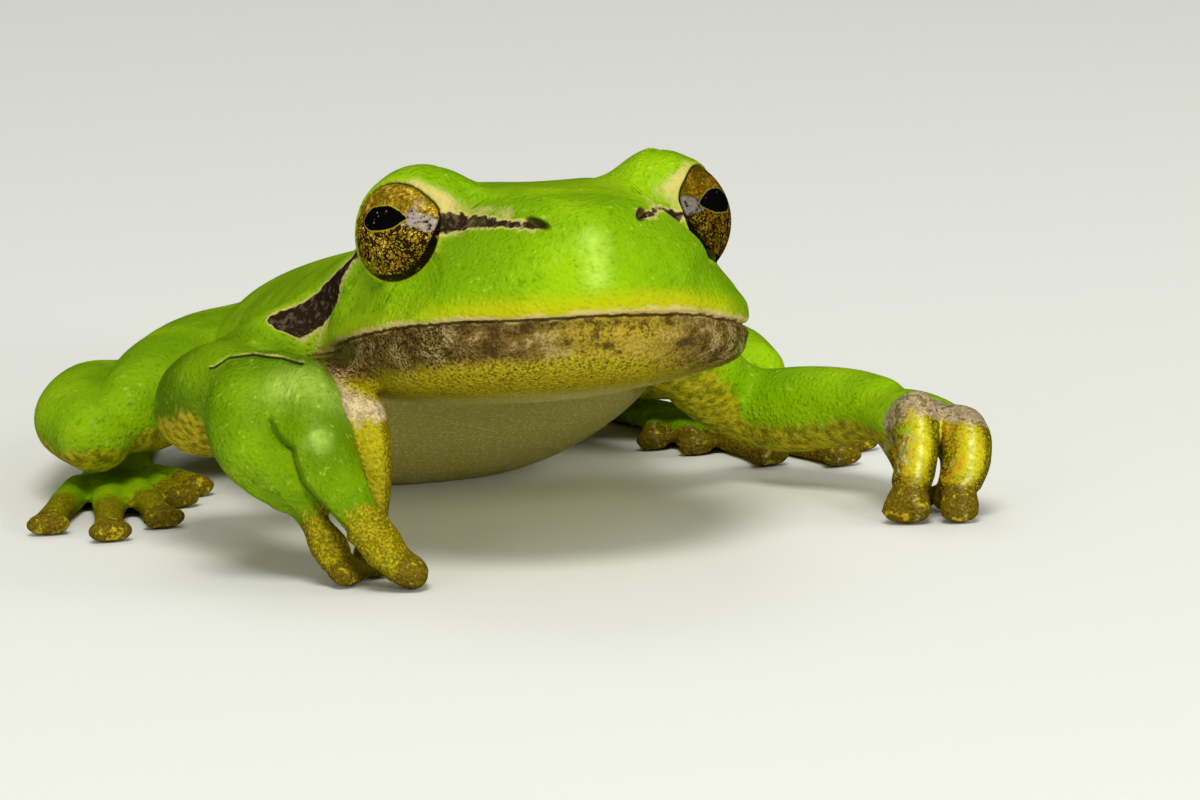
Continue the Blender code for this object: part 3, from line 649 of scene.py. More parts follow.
local = toHead(points)
x, y, z = points.T
onBack = rise(local[:, 1], 6.0, 9.0) * fall(np.abs(x), 6.0, 8.0) * rise(z, 0.4, 1.5)
points = relaxed(points, edges, onBack, skin["backPasses"])
points = relaxed(points, edges, np.maximum(jointWeight(points), neckWeight(local)), skin["jointPasses"])
points = relaxed(points, edges, eyeRoot(toHead(points)), skin["eyePasses"])
setPoints(skinMesh, points)

local = toHead(points)
rho = bothRho(local)
nearEye = (rho > skin["fineRho"][0]) & (rho < skin["fineRho"][1]) & (eyeDistance(local) < skin["fineEye"])
nearLip = ((np.abs(lipHeight(local)) < skin["fineLip"]) & (headExcess(local) < 1.25)
           & (local[:, 1] < skin["fineLipBack"]))
nearNostril = nostrilGap(local) < skin["fineNostril"]
nearCrease = np.minimum(creaseGap(points, "hand"), creaseGap(points, "wrist")) < skin["fineCrease"]
subdivided(skinMesh, nearEye | nearLip | nearNostril | nearCrease)
points = pointsOf(skinMesh)
edges = edgesOf(skinMesh)
local = toHead(points)
nearHead = ((headExcess(local) < 1.3) & (local[:, 1] < 6.5)).astype(float)
points = relaxed(points, edges, nearHead, skin["headPasses"], skin["inflate"])
print("skin with fine places:", len(skinMesh.polygons), "faces")


def opened(local, side):
    # lids: the radius goes to the lid's outside the opening, and under the ball inside it
    centre, axis, _, height = eyeAxes(side)
    away = local - centre
    radius = np.maximum(np.linalg.norm(away, axis=1), 1e-6)
    rho = openingRho(local, side)
    direction = away / radius[:, None]
    upper = rise(direction @ height, -0.2, 0.5)
    lid = lids["radius"] - lids["lowThinner"] * (1 - upper)
    lid = lid + lids["rim"] * bump(rho - lids["rimAt"], lids["rimWidth"])
    brow = lids["leftBrow" if side > 0 else "rightBrow"]
    lid = lid + brow * rise(rho, 1.05, 1.5) * rise(direction @ height, 0.1, 0.8)
    lid = lid - lids["fold"] * bump(rho - lids["foldAt"], lids["foldWidth"]) * (0.35 + 0.65 * (1 - upper))
    # away from the eye the lids have no hold, except that nothing stays inside the opening
    share = fall(rho, *lids["reach"]) * fall(radius - lids["inner"] * (rho < 0.999), *lids["hold"])
    # of each mesh edge across the opening's edge, the nearer end slides onto it, so that it runs smooth
    ends = rho[edges]
    across = (ends.min(axis=1) < 1) & (ends.max(axis=1) >= 1) & (ends.max(axis=1) < 1.3)
    chosen = np.where(np.abs(ends[:, 0] - 1) < np.abs(ends[:, 1] - 1), edges[:, 0], edges[:, 1])[across]
    slid = np.ones((len(rho), 1))
    slid[chosen, 0] = 1 / rho[chosen]
    flat = (direction - (direction @ axis)[:, None] * axis) * slid
    outward = np.sqrt(np.maximum(1 - (flat ** 2).sum(axis=1), 0)) * np.sign(direction @ axis)
    away = (flat + outward[:, None] * axis) * radius[:, None]
    rho[chosen] = 1.0
    target = lid + (lids["under"] - lid) * fall(rho, *lids["edge"])
    reached = radius + share * (target - radius)
    # outside the opening the skin never sinks into the ball
    reached = np.where(rho < 1, reached, np.maximum(reached, eye["radius"] + lids["clear"]))
    return centre + away * (reached / radius)[:, None]


lids = {
    # radius of the lid, and under the ball; between which shares of the opening the edge falls
    "radius": 2.43, "under": 2.05, "edge": (0.955, 0.995), "reach": (1.1, 1.9), "hold": (3.5, 4.3),
    "inner": 2.6,
    "lowThinner": 0.03, "clear": 0.04, "leftBrow": 0.3, "rightBrow": 0.25,
    "rim": 0.04, "rimAt": 1.08, "rimWidth": 0.07, "fold": 0.05, "foldAt": 1.24, "foldWidth": 0.1,
}

cheek = {
    "narrow": 0.34, "brow": 0.2, "browX": -2.0, "browWidth": 1.7,
    # the eardrum: a flat disc in a low ring
    "drumAt": (6.72, 4.3, -1.25), "drum": 0.07, "drumRadius": 0.8, "drumWidth": 0.14,
    "flatPath": ((6.4, -2.4, -1.4), (7.0, -0.5, -1.7), (7.4, 1.6, -2.2)), "flat": 0.28, "flatWidth": 0.9,
    # a hollow behind the cheek, where the stripe runs over the eardrum, and the cheek's edge in front of it
    "dentPath": ((6.6, 3.6, -1.3), (6.9, 5.2, -2.2), (7.3, 7.0, -3.0)), "dent": 0.7, "dentWidth": 1.1,
    "edgePath": ((6.7, 1.9, -1.5), (7.2, 2.6, -2.4), (7.3, 5.0, -3.5), (7.3, 6.6, -4.1)), "edge": 0.14,
    "edgeWidth": 0.5,
    # the left side is hollower under the eye
    "left": 0.66, "leftHeight": -2.05, "leftWidth": 1.1,
}

local = toHead(points)
# x, y and z are the columns of the head's points, so that a change to one moves them
x, y, z = local.T
x -= fall(y, 3.0, 6.0) * (cheek["narrow"] * rise(x, 3.0, 6.5) * rise(-z, 0.6, 2.0) + cheek["left"]
                          * rise(x, 2.6, 5.2) * bump(z - cheek["leftHeight"], cheek["leftWidth"])
                          * fall(y, -3.0, 0.0))
z += cheek["brow"] * bump(x - cheek["browX"], cheek["browWidth"]) * rise(z, 0.3, 1.1) * fall(y, 3.0, 7.0)
for side in (-1, 1):
    local = opened(local, side)
setPoints(skinMesh, fromHead(local))
normals = normalsOf(skinMesh)
skinPoints = pointsOf(skinMesh)
lip = lipHeight(local)
headShare = fall(headExcess(local), 1.12, 1.3)
lipShare = headShare * fall(local[:, 1], *mouth["fade"])
inset = (mouth["inset"] - mouth["leftBulge"] * rise(local[:, 0], 3.0, 6.5)) * rise(-lip, 0.0, 0.25)
push = lipShare * (mouth["lip"] * bump(lip - mouth["lipHeight"], mouth["lipWidth"])
                   - mouth["groove"] * bump(lip, mouth["grooveWidth"]) - inset * fall(-lip, 1.0, 2.0)
                   + mouth["roll"] * bump(lip - mouth["rollHeight"], mouth["rollWidth"]))
mirrored = np.column_stack([np.abs(local[:, 0]), local[:, 1:]])
push -= cheek["dent"] * bump(gapTo(mirrored, cheek["dentPath"]), cheek["dentWidth"])
push -= cheek["flat"] * bump(gapTo(mirrored, cheek["flatPath"]), cheek["flatWidth"])
drumGap = distance(mirrored, cheek["drumAt"])
push += cheek["drum"] * (bump(drumGap - cheek["drumRadius"], cheek["drumWidth"]) - fall(drumGap, 0.3, 0.8))
push += cheek["edge"] * bump(gapTo(mirrored, cheek["edgePath"]), cheek["edgeWidth"])
for side in (-1, 1):
    near = distance(local, eyeAxes(side)[0]) < 3.4
    push *= np.where(near, rise(openingRho(local, side), 1.02, 1.45), 1.0)
for name, depth, width in creases["cuts"]:
    gap = creaseGap(skinPoints, name, deep=True)
    push += depth * (creases["lip"] * bump(gap, creases["lipWidth"] * width) - bump(gap, width))
for word in ("knob", "knuckle"):
    push += creases[word + "Rise"] * bump(distance(skinPoints, creases[word]), creases[word + "Width"])
push -= creases["tuckDepth"] * bump(gapTo(skinPoints, creases["tuck"]), creases["tuckWidth"])
gap = nostrilGap(local)
push -= nostril["pit"] * bump(gap, nostril["pitWidth"])
push += nostril["rim"] * bump(gap - nostril["rimAt"], nostril["rimWidth"])
for word, _, _ in digits:
    part, stretch = word.split(" ")
    rows = (arms if part.endswith("Arm") else legs)[part[:-3]][stretch]
    gapShare, along = stretchShare(skinPoints, {stretch: rows})[stretch]
    push -= skin["padGroove"] * (gapShare < 1.45) * bump(along - skin["padGrooveAt"], skin["padGrooveWidth"])
    if word in skin["fuller"]:
        push += (skin["fullerBy"] * fall(gapShare, 1.3, 1.7) * rise(along, 0.15, 0.4)
                 * fall(along, 0.75, 0.85))
points = fromHead(local) + push[:, None] * normals
points[:, 2] = np.maximum(points[:, 2], 0.0)
setPoints(skinMesh, points)


def setShares(mesh, shares):
    # one number for each point, for the materials to read
    for name, values in shares.items():
        mesh.attributes.new(name, "FLOAT", "POINT").data.foreach_set("value", np.asarray(values, np.float32))


stripes = {
    # eye to nostril, in the head's frame; then eye to groin as y and height in the world, seen from the side
    "snout": ((4.7, -2.2, 0.5), (4.24, -2.37, 0.48), (3.84, -2.3, 0.44), (3.46, -2.9, 0.42),
              (3.19, -3.88, 0.35), (2.8, -4.48, 0.33), (2.43, -5.11, 0.25), (1.95, -5.6, 0.22)),
    "snoutWidth": (0.38, 0.38, 0.36, 0.3, 0.24, 0.14, 0.12, 0.2),
    # the left one is thinner, and bends down towards the eye
    "leftThinner": 0.17, "leftLower": 0.55,
    # the cream above it, and the cream edge of the cheek
    "pale": ((5.2, -1.4, 1.85), (4.74, -1.8, 1.6), (4.11, -2.07, 1.15), (3.3, -2.2, 0.98), (2.91, -3.3, 0.8),
             (2.57, -4.4, 0.6)),
    "paleWidth": (0.28, 0.31, 0.33, 0.29, 0.2, 0.1),
    "cheek": ((6.3, 4.9, -1.2), (6.4, 5.3, -1.55), (6.65, 5.95, -2.4), (7.05, 6.1, -3.3), (7.4, 6.0, -4.0)),
    "cheekWidth": (0.1, 0.14, 0.2, 0.2, 0.12),
    "flank": ((1.9, -0.4), (3.4, -0.55), (4.9, -0.75), (5.6, -1.35), (6.6, -2.35), (7.3, -3.2), (8.6, -4.1),
              (11.5, -4.7), (15.5, -5.4), (20.0, -6.3), (25.0, -7.0), (29.0, -7.6)),
    "flankWidth": (0.1, 0.16, 0.18, 0.3, 0.68, 0.85, 0.42, 0.5, 0.45, 0.45, 0.4, 0.2), "flankFrom": 4.0,
}


def stripeDepth(local):
    # how deep inside each stripe a point lies, in millimetres: width there - distance to the path
    mirrored = np.column_stack([np.abs(local[:, 0]), local[:, 1:]])
    depths = {}
    bent = mirrored.copy()
    bent[:, 2] += stripes["leftLower"] * rise(local[:, 0], 3.1, 4.4)
    for word, seen in (("snout", bent), ("pale", mirrored), ("cheek", mirrored), ("flank", mirrored[:, 1:])):
        gap, along = pathDistance(seen, stripes[word])
        widths = stripes[word + "Width"]
        depths[word] = np.maximum(np.interp(along, np.linspace(0, 1, len(widths)), widths) - gap, -3.0)
    depths["flank"] = np.where(mirrored[:, 0] > stripes["flankFrom"], depths["flank"], -3.0)
    depths["snout"] -= stripes["leftThinner"] * rise(local[:, 0], 2.6, 3.2)
    return depths


# painted highlights, lighter places where light shines on the skin: strength, width and path, in the world on
# the hand, in the head's frame on the snout
frogPaintedHighlights = {
    "knob": (0.7, 0.4),
    "hand": (0.42, 0.75, ((-10.4, -15.7, 7.1), (-9.6, -16.2, 7.0), (-9.1, -16.6, 6.5))),
    "snout": (0.42, 0.45, ((-0.35, -7.0, -0.5), (-0.4, -7.4, -1.7))),
}


def glowShare(points, local):
    # the strongest of the three painted highlights at each point: strength * bell(distance)
    strength, width = frogPaintedHighlights["knob"]
    paintedHighlight = strength * bump(distance(points, creases["knob"]), width)
    for word, seen in (("hand", points), ("snout", local)):
        strength, width, path = frogPaintedHighlights[word]
        paintedHighlight = np.maximum(paintedHighlight, strength * bump(gapTo(seen, path), width))
    return paintedHighlight


def digitShares(parts, count):
    # gold from a share of a digit's length on, beige up to one, and the pad at its end
    gold, pad, beige = (np.zeros(count) for _ in range(3))
    for word, goldFrom, beigeUpTo in digits:
        part, stretch = word.split(" ")
        gap, along = parts[part][stretch]
        tight = part == "rightArm" and stretch in ("finger_1", "finger_2")
        near = 1 - (rise(gap, 1.15, 1.35) if tight else rise(gap, 1.4, 1.8))
        gold = np.maximum(gold, near * rise(along, goldFrom - 0.16, goldFrom + 0.16))
        pad = np.maximum(pad, near * rise(along, 0.74, 0.92))
        start = rise(along, 0.02, 0.16) if part == "leftArm" else 1.0
        if beigeUpTo:
            beige = np.maximum(beige, near * start * fall(along, beigeUpTo - 0.1, beigeUpTo + 0.1))
    return {"gold": gold, "pad": pad, "beige": beige}


def bellyShare(points, local, onLimb):
    # under the trunk's middle height, and under the chin; 0 on the limbs
    rings = np.array(body["trunkRings"])
    top, bottom = (np.interp(points[:, 1], rings[:, 0], rings[:, k]) for k in (1, 2))
    under = rise((0.5 * (top + bottom) - points[:, 2]) / (0.5 * (top - bottom)), -0.1, 0.35)
    return (1 - onLimb) * np.where(local[:, 1] < 7.0, rise(-local[:, 2], 4.7, 5.6), under)


def lidShare(local):
    # the nearer opening's edge; 4 more away from the eye
    return np.minimum(*(openingRho(local, side) + 4 * rise(distance(local, eyeAxes(side)[0]), 2.75, 3.05)
                        for side in (-1, 1)))


def skinShares(points, normals):
    # what the skin's material reads: heights, depths and distances in millimetres, and shares from 0 to 1
    local = toHead(points)
    x, y, z = local.T
    parts = {word + part: stretchShare(points, limbs[word]) for part, limbs in (("Arm", arms), ("Leg", legs))
             for word in ("right", "left")}
    limb = np.min([gap for shares in parts.values() for gap, _ in shares.values()], axis=0)
    farLimb = np.min([gap for shares in parts.values() for stretch, (gap, _) in shares.items()
                      if stretch not in ("upper_arm", "thigh")], axis=0)
    hidden = np.maximum(fall(farLimb, 1.2, 1.7), fall(limb, 1.2, 1.7) * rise(y, 9.5, 10.5))
    onLimb = fall(limb, 1.3, 1.75)
    onHead = (fall(headExcess(local), 1.25, 1.6) * fall(y, 6.0, 8.0)
              * (z > -7.5))
    depths = stripeDepth(local)
    rightArm = parts["rightArm"]
    handGap = np.minimum(rightArm["hand"][0], rightArm["finger_3"][0])
    isLeft = points[:, 0] > 0
    facing = unit(creases["facing"])
    onDigits = digitShares(parts, len(points))
    # strength of the painted highlight where each digit faces the camera: weaker on the right hand, except
    # its second finger
    topLight = 0.25 + 0.75 * isLeft + 0.5 * fall(rightArm["finger_2"][0], 1.15, 1.4)
    return {
        **onDigits, "digitHighlight": topLight * rise(normals @ facing, 0.55, 0.98) * (1 - onDigits["pad"]),
        "digitAcross": np.where(isLeft, normals @ unit(np.cross(up, facing)), 1.0),
        "leftDigit": isLeft.astype(float),
        # painted shade: the right hand and forearm are darkened
        "rightHandShade": fall(np.minimum(handGap, rightArm["forearm"][0]), 1.25, 1.7),
        "snoutStripe": depths["snout"], "flankStripe": depths["flank"] - 3 * hidden,
        "pale": np.maximum(depths["pale"], depths["cheek"]),
        "lipHeight": lipHeight(local), "lipMiddle": bump(x - 0.4, 2.6),
        "lipShare": onHead * fall(y, 5.6, 7.4) * fall(-z, 5.6, 6.3),
        "yellowShare": 0.25 + 0.55 * rise(-y, 3.5, 6.8),
        "lidFront": np.maximum(lidFront(local, -1), lidFront(local, 1)),
        "lidRho": np.minimum(lidShare(local), 3.0),
        "bellyShare": bellyShare(points, local, onLimb),
        "lowSide": onLimb * rise(-normals[:, 2], -0.15, 0.55) * (0.35 + 0.65 * rise(handGap, 1.5, 2.2)),
        # painted highlights on the hand and the snout
        "paintedHighlight": glowShare(points, local),
        "cheek": onHead * rise(np.abs(x), 3.6, 5.6) * rise(-z, 0.2, 1.2),
        "nostril": np.minimum(nostrilGap(local), 2.0),
        "crease": creaseGap(points, "hand"), "wristHeight": creaseHeight(points, "wrist"),
    }


def newPiece(name, mesh, material, replaced):
    # a finished piece: mesh in metres at the origin, smooth, riding on the one body
    mesh.name = name
    setPoints(mesh, pointsOf(mesh) * mm)
    mesh.polygons.foreach_set("use_smooth", np.ones(len(mesh.polygons), bool))
    mesh.materials.clear()
    mesh.materials.append(material)
    piece = placed(name, mesh)
    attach(piece, "root")
    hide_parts(*replaced)
    return piece


# node helpers: they add to the nodes of the material that was started last


def newMaterial(name, look):
    # starts a material: its look holds colours by name, and the shader's own values as its finish
    global tree, shader, palette
    material = bpy.data.materials.new(name)
    material.use_nodes = True
    tree, palette = material.node_tree, look
    shader = tree.nodes["Principled BSDF"]
    for socket, value in look["finish"].items():
        shader.inputs[socket].default_value = value
    return material


def tint(red, green, blue):
    # a colour given as it looks on screen, 0 to 255
    shares = (c / 255 for c in (red, green, blue))
    return (*(((c + 0.055) / 1.055) ** 2.4 if c > 0.04 else c / 12.92 for c in shares), 1.0)


def feed(socket, value):
    # a link if the value is a socket, else the socket's own value; a name stands for the look's colour
    if isinstance(value, bpy.types.NodeSocket):
        tree.links.new(value, socket)
    else:
        socket.default_value = tint(*palette[value]) if isinstance(value, str) else value


def node(kind, settings, inputs, output):
    # a node of a kind, with its settings and inputs, and the output that is wanted
    new = tree.nodes.new("ShaderNode" + kind)
    for setting, value in settings.items():
        setattr(new, setting, value)
    for socket, value in inputs.items():
        feed(new.inputs[socket], value)
    return new.outputs[output]


def maths(operation, *values):
    # one sum, product or other operation on numbers
    return node("Math", {"operation": operation}, dict(enumerate(values)), 0)


def plus(first, second):
    # first + second
    return maths("ADD", first, second)


def times(first, second):
    # first * second
    return maths("MULTIPLY", first, second)


def absolute(value):
    # |value|
    return maths("ABSOLUTE", value)


def step(value, low, high, start=0.0, end=1.0):
    # smooth step of a number between two levels
    return node("MapRange", {"interpolation_type": "SMOOTHSTEP"},
                dict(enumerate((value, low, high, start, end))), 0)


def blend(amount, first, second):
    # first * (1 - amount) + second * amount
    return node("Mix", {"data_type": "RGBA"}, {"Factor": amount, "A": first, "B": second}, "Result")


def layered(colour, *layers):
    # colours laid over one another, each by its own amount
    for amount, over in layers:
        colour = blend(amount, colour, over)
    return colour


def share(name):
    # a number that the mesh carries for each point
    return node("Attribute", {"attribute_name": name}, {}, "Fac")


def place(stretch=(1.0, 1.0, 1.0)):
    # Object coordinates, stretched
    return node("Mapping", {}, {"Vector": node("TexCoord", {}, {}, "Object"), "Scale": stretch}, "Vector")


def grain(vector, patch, detail=2.0, roughness=0.55, output="Fac"):
    # noise with patches of a given size in millimetres
    inputs = {"Vector": vector, "Scale": 1000.0 / patch / 2, "Detail": detail, "Roughness": roughness}
    return node("TexNoise", {}, inputs, output)


def wavy(vector, patch, reach):
    # the same places, pushed about by noise: patch and reach in millimetres
    noise = grain(vector, patch, roughness=0.5, output="Color")
    inputs = {0: noise, 1: (reach * mm * 2,) * 3, 2: vector}
    return node("VectorMath", {"operation": "MULTIPLY_ADD"}, inputs, 0)


def cells(vector, width, feature="F1"):
    # cells of a given size in millimetres: distance to their middles or to their edges
    return node("TexVoronoi", {"feature": feature}, {"Vector": vector, "Scale": 1000.0 / width}, "Distance")


def raised(heights, strength):
    # bumps, one after another: height socket and depth in millimetres
    last = {}
    for height, depth in heights:
        inputs = {"Strength": strength, "Distance": depth * mm, "Height": height, **last}
        last = {"Normal": node("Bump", {}, inputs, "Normal")}
    return last["Normal"]


frogSkin = {
    # colours as they look on screen, 0 to 255
    "green": (120, 166, 1), "brightGreen": (150, 194, 6), "oliveGreen": (92, 132, 1),
    # the hand's darker green is painted shade; the pale flecks and the glow colour are painted highlights
    "handShadeGreen": (80, 114, 1), "paintedGlint": (206, 232, 84), "paintedHighlight": (214, 246, 112),
    "ochre": (128, 118, 16), "belly": (220, 212, 160), "throat": (186, 178, 84),
    # digits
    "gold": (134, 112, 4), "goldBright": (214, 190, 30), "goldGreen": (142, 136, 4),
    # digitHighlightYellow and digitHighlightLine are painted highlights
    "goldDark": (92, 74, 10), "digitHighlightYellow": (222, 216, 40), "digitHighlightLine": (250, 244, 170),
    "digitOrange": (196, 126, 16), "pad": (112, 94, 18), "beige": (226, 204, 162),
    "beigeDark": (96, 76, 56), "beigeGrey": (158, 136, 110),
    # lips
    # darkLineAndShade: dark specks on the lower lip, and painted shade in the mouth's groove and the nostrils
    "yellow": (190, 184, 6), "cream": (218, 196, 120), "darkLineAndShade": (48, 30, 14),
    "lipBrown": (122, 98, 44), "lipDark": (72, 54, 22), "lipPale": (170, 148, 96),
    "lipGold": (188, 164, 40), "jaw": (166, 152, 14),
    # markings
    # darkMarkAndShade: the digits' dark net, and painted shade in the creases and inside the lids
    "stripe": (46, 32, 22), "stripeSpeck": (96, 80, 62), "darkMarkAndShade": (30, 20, 4),
    "lidPale": (176, 186, 30),
    "bump": 0.7,
    "finish": {"Roughness": 0.36, "Specular IOR Level": 0.18, "Specular Tint": (0.85, 1.0, 0.45, 1.0),
               "Subsurface Weight": 0.12, "Subsurface Radius": (0.4, 0.5, 0.1), "Subsurface Scale": 0.0008,
               "Coat Weight": 0.16, "Coat Roughness": 0.14},
}


def skinMaterial(name, look):
    # green, and each marking laid over it through a share that the mesh carries, made ragged by noise
    material = newMaterial(name, look)
    even = place()
    patches, mid = grain(even, 2.6, 3.0), grain(even, 0.5)
    fine, tiny = grain(even, 0.16, 3.0, 0.6), grain(even, 0.05, 2.0, 0.6)
    granules = cells(even, 0.19)

    def ragged(word, reach, noise=mid):
        # the share, moved up and down by noise
        return plus(share(word), step(noise, 0.2, 0.8, -reach, reach))

    # green, patchy, with painted shade on the right hand, tiny pale flecks painted as glints, and painted
    # highlights
    colour = layered(
        blend(step(patches, 0.38, 0.64), "green", "brightGreen"),
        (step(fine, 0.42, 0.3, 0.0, 0.55), "oliveGreen"),
        # painted shade over the right hand
        (times(share("rightHandShade"), step(patches, 0.3, 0.7, 0.8, 0.45)), "handShadeGreen"),
        # tiny pale flecks: painted glints of light
        (step(fine, 0.6, 0.72, 0.0, 0.35), "paintedGlint"),
        (times(share("paintedHighlight"), step(fine, 0.3, 0.6, 0.6, 1.0)), "paintedHighlight"))
    # under sides
    colour = layered(
        colour,
        (step(ragged("lowSide", 0.25), 0.35, 0.95, 0.0, 0.85),
         blend(step(fine, 0.35, 0.65), "ochre", "goldBright")),
        (step(ragged("bellyShare", 0.2), 0.2, 0.55), blend(step(granules, 0.1, 0.5), "belly", "throat")))
    # digits: gold with a yellow painted highlight where they face the camera, a pale painted highlight line
    # and an orange side, and a dark net that the painted highlight thins
    across, top = share("digitAcross"), share("digitHighlight")
    line = absolute(maths("SUBTRACT", across, 0.12))
    net = plus(cells(wavy(even, 0.2, 0.1), 0.16, "DISTANCE_TO_EDGE"), times(top, 0.3))
    netShare = step(share("leftDigit"), 0.0, 1.0, 0.5, 1.0)
    gold = layered(
        blend(step(patches, 0.4, 0.6), "gold", "goldGreen"),
        (times(top, step(fine, 0.2, 0.7, 0.5, 1.0)), "digitHighlightYellow"),
        (step(patches, 0.56, 0.42, 0.0, 0.5), "goldGreen"),
        (step(tiny, 0.5, 0.64, 0.0, 0.5), "goldBright"),
        (times(step(across, -0.05, -0.3), step(fine, 0.44, 0.62, 0.05, 0.6)), "digitOrange"),
        (times(step(line, 0.2, 0.02), step(fine, 0.38, 0.62, 0.12, 0.7)), "digitHighlightLine"),
        (step(plus(tiny, times(top, 0.12)), 0.55, 0.4, 0.0, 0.5), "goldDark"),
        (times(step(net, 0.2, 0.06, 0.0, 0.7), netShare), "darkMarkAndShade"))
    # beige knuckles, crumpled on the left
    crumpled, onKnuckle = grain(even, 0.3, 4.0, 0.75), share("leftDigit")
    beige = layered(
        blend(times(step(crumpled, 0.42, 0.58), onKnuckle), "beige", "beigeGrey"),
        (times(step(crumpled, 0.5, 0.42), step(onKnuckle, 0.0, 1.0, 0.4, 0.9)), "beigeDark"),
        (step(tiny, 0.5, 0.38, 0.0, 0.45), "beigeDark"))
    pads = layered(
        blend(step(tiny, 0.4, 0.6), "goldDark", "pad"),
        (step(fine, 0.56, 0.66, 0.0, 0.8), "goldBright"))
    colour = layered(
        colour,
        (step(ragged("gold", 0.25, fine), 0.25, 0.75), gold),
        (step(ragged("beige", 0.4), 0.35, 0.75, 0.0, 0.85), beige),
        (step(share("pad"), 0.3, 0.9, 0.0, 0.8), pads))
    # lips, from above: yellow, cream, the dark line between them as painted shade in the mouth's groove,
    # brown, olive gold
    lip, blotch = ragged("lipHeight", 0.1), grain(even, 0.4, 4.0, 0.7)
    corners = step(share("yellowShare"), 0.75, 0.35, 0.35, 0.9)
    brown = layered(
        blend(step(blotch, 0.5, 0.64), "lipBrown", "lipPale"),
        (step(share("lipMiddle"), 0.0, 1.0, 0.0, 0.75), "lipGold"),
        (step(blotch, 0.5, 0.38, 0.0, 0.8), "lipDark"),
        (times(step(tiny, 0.54, 0.42), corners), "darkLineAndShade"))
    jaw = layered(
        blend(step(tiny, 0.5, 0.38, 0.0, 0.8), "jaw", "lipDark"),
        (step(tiny, 0.56, 0.68, 0.0, 0.7), "goldBright"))
    thread = absolute(ragged("lipHeight", 0.04, fine))
    lips = layered(
        blend(times(step(lip, 1.2, 0.3), share("yellowShare")), colour, "yellow"),
        (step(lip, 0.3, 0.08, 0.0, 0.9), "cream"),
        (step(lip, 0.06, -0.1), blend(step(lip, -1.2, -1.8), brown, jaw)),
        # the dark line between the lips: painted shade in the groove
        (step(thread, 0.08, 0.035, 0.0, 0.9), "darkLineAndShade"))
    # the lids' pale margin, cream at the front corner, and the cream above the stripe
    rho, front = share("lidRho"), share("lidFront")
    wide = step(front, 0.2, 0.9, 1.05, 1.13)
    pale = plus(share("pale"), step(mid, 0.25, 0.75, -0.16, 0.16))
    colour = layered(
        blend(share("lipShare"), colour, lips),
        (step(maths("DIVIDE", rho, wide), 1.0, 0.95, 0.0, 0.6), blend(front, "lidPale", "cream")),
        (step(pale, -0.2, 0.35, 0.0, 0.8), "cream"))
    # stripes with a pale border, broken by noise
    dark = blend(step(fine, 0.5, 0.64), "stripe", "stripeSpeck")
    broken = step(grain(even, 0.2), 0.25, 0.75, -0.1, 0.1)
    for word, border in (("flankStripe", 0.26), ("snoutStripe", 0.16)):
        depth = plus(share(word), broken)
        colour = layered(colour, (step(depth, -border, -0.04, 0.0, 0.75), "cream"),
                         (step(depth, -0.03, 0.06), dark))
    # nostrils, creases with the pale line above the wrist's, and the inside of the lids: dark as painted
    # shade in these hollows, the pale line a painted shine
    above = share("wristHeight")
    shine = times(step(absolute(maths("SUBTRACT", above, 0.08)), 0.06, 0.02),
                  step(mid, 0.35, 0.6, 0.15, 0.75))
    colour = layered(
        colour,
        (step(share("nostril"), 0.34, 0.2, 0.0, 0.92), "darkLineAndShade"),
        (shine, "cream"),
        (step(absolute(above), 0.075, 0.03, 0.0, 0.85), "darkMarkAndShade"),
        (step(share("crease"), 0.09, 0.02, 0.0, 0.5), "darkMarkAndShade"),
        (step(rho, 1.0, 0.98), "darkMarkAndShade"))
    streaks = times(grain(place((1.0, 0.2, 1.0)), 0.11), share("cheek"))
    domes = step(granules, 0.62, 0.05)
    relief = raised(((mid, 0.06), (domes, 0.05), (fine, 0.03), (streaks, 0.08)), look["bump"])
    for socket, value in (("Base Color", colour), ("Normal", relief), ("Coat Normal", relief)):
        feed(shader.inputs[socket], value)
    return material


iris = {
    # colours as they look on screen
    "gold": (156, 124, 12), "bright": (238, 204, 72), "olive": (124, 112, 12), "rust": (150, 84, 16),
    "net": (28, 16, 4), "ring": (170, 150, 26), "pupil": (6.6, 6.6, 6.6),
    # pale and glint are painted reflections
    "pale": (168, 158, 152), "rim": (16, 10, 4), "glint": (186, 190, 168),
    # where each pupil looks in the head's frame, its half-length and half-height in millimetres
    "right": (-0.755, -0.555, 0.34), "left": (0.62, -0.726, 0.29), "halfLength": 1.02, "halfHeight": 0.46,
    # the left iris is in less light: its colours are painted darker, as shade
    "paintedShadeColours": {"gold": (108, 84, 6), "bright": (164, 132, 26), "olive": (86, 78, 8),
               "rust": (116, 66, 12), "ring": (128, 116, 30), "pale": (128, 122, 118)},
    "finish": {"Roughness": 0.5, "Specular IOR Level": 0.0, "Coat Weight": 1.0, "Coat Roughness": 0.06,
               "Coat IOR": 1.34},
}


def irisShares(points, side):
    # places on the ball seen from the pupil's middle, in millimetres: forward, up, depth inside the pupil
    local = toHead(points)
    away = unit(local - eyeAxes(side)[0])
    gaze = unit(iris["right" if side < 0 else "left"])
    level = unit(np.cross(gaze, up)) * side
    tall = np.cross(level, gaze) * side
    turned = np.arccos(np.clip(away @ gaze, -1, 1)) * eye["radius"]
    flat = unit(np.column_stack([away @ level, away @ tall]) + 1e-9)
    forward, above = turned * flat[:, 0], turned * flat[:, 1]
    # pupil: |up| < h (1 - |forward / l|^n), an oval that is blunt behind and drawn to a point in front
    blunt = 2.0 + 1.6 * rise(-forward, -0.3, 0.5)
    pupil = iris["halfHeight"] * (1 - np.abs(forward / iris["halfLength"]) ** blunt) - np.abs(above)
    return {"forward": forward, "above": above, "pupil": pupil,
            "rim": np.minimum(openingRho(local, side), 3.0)}


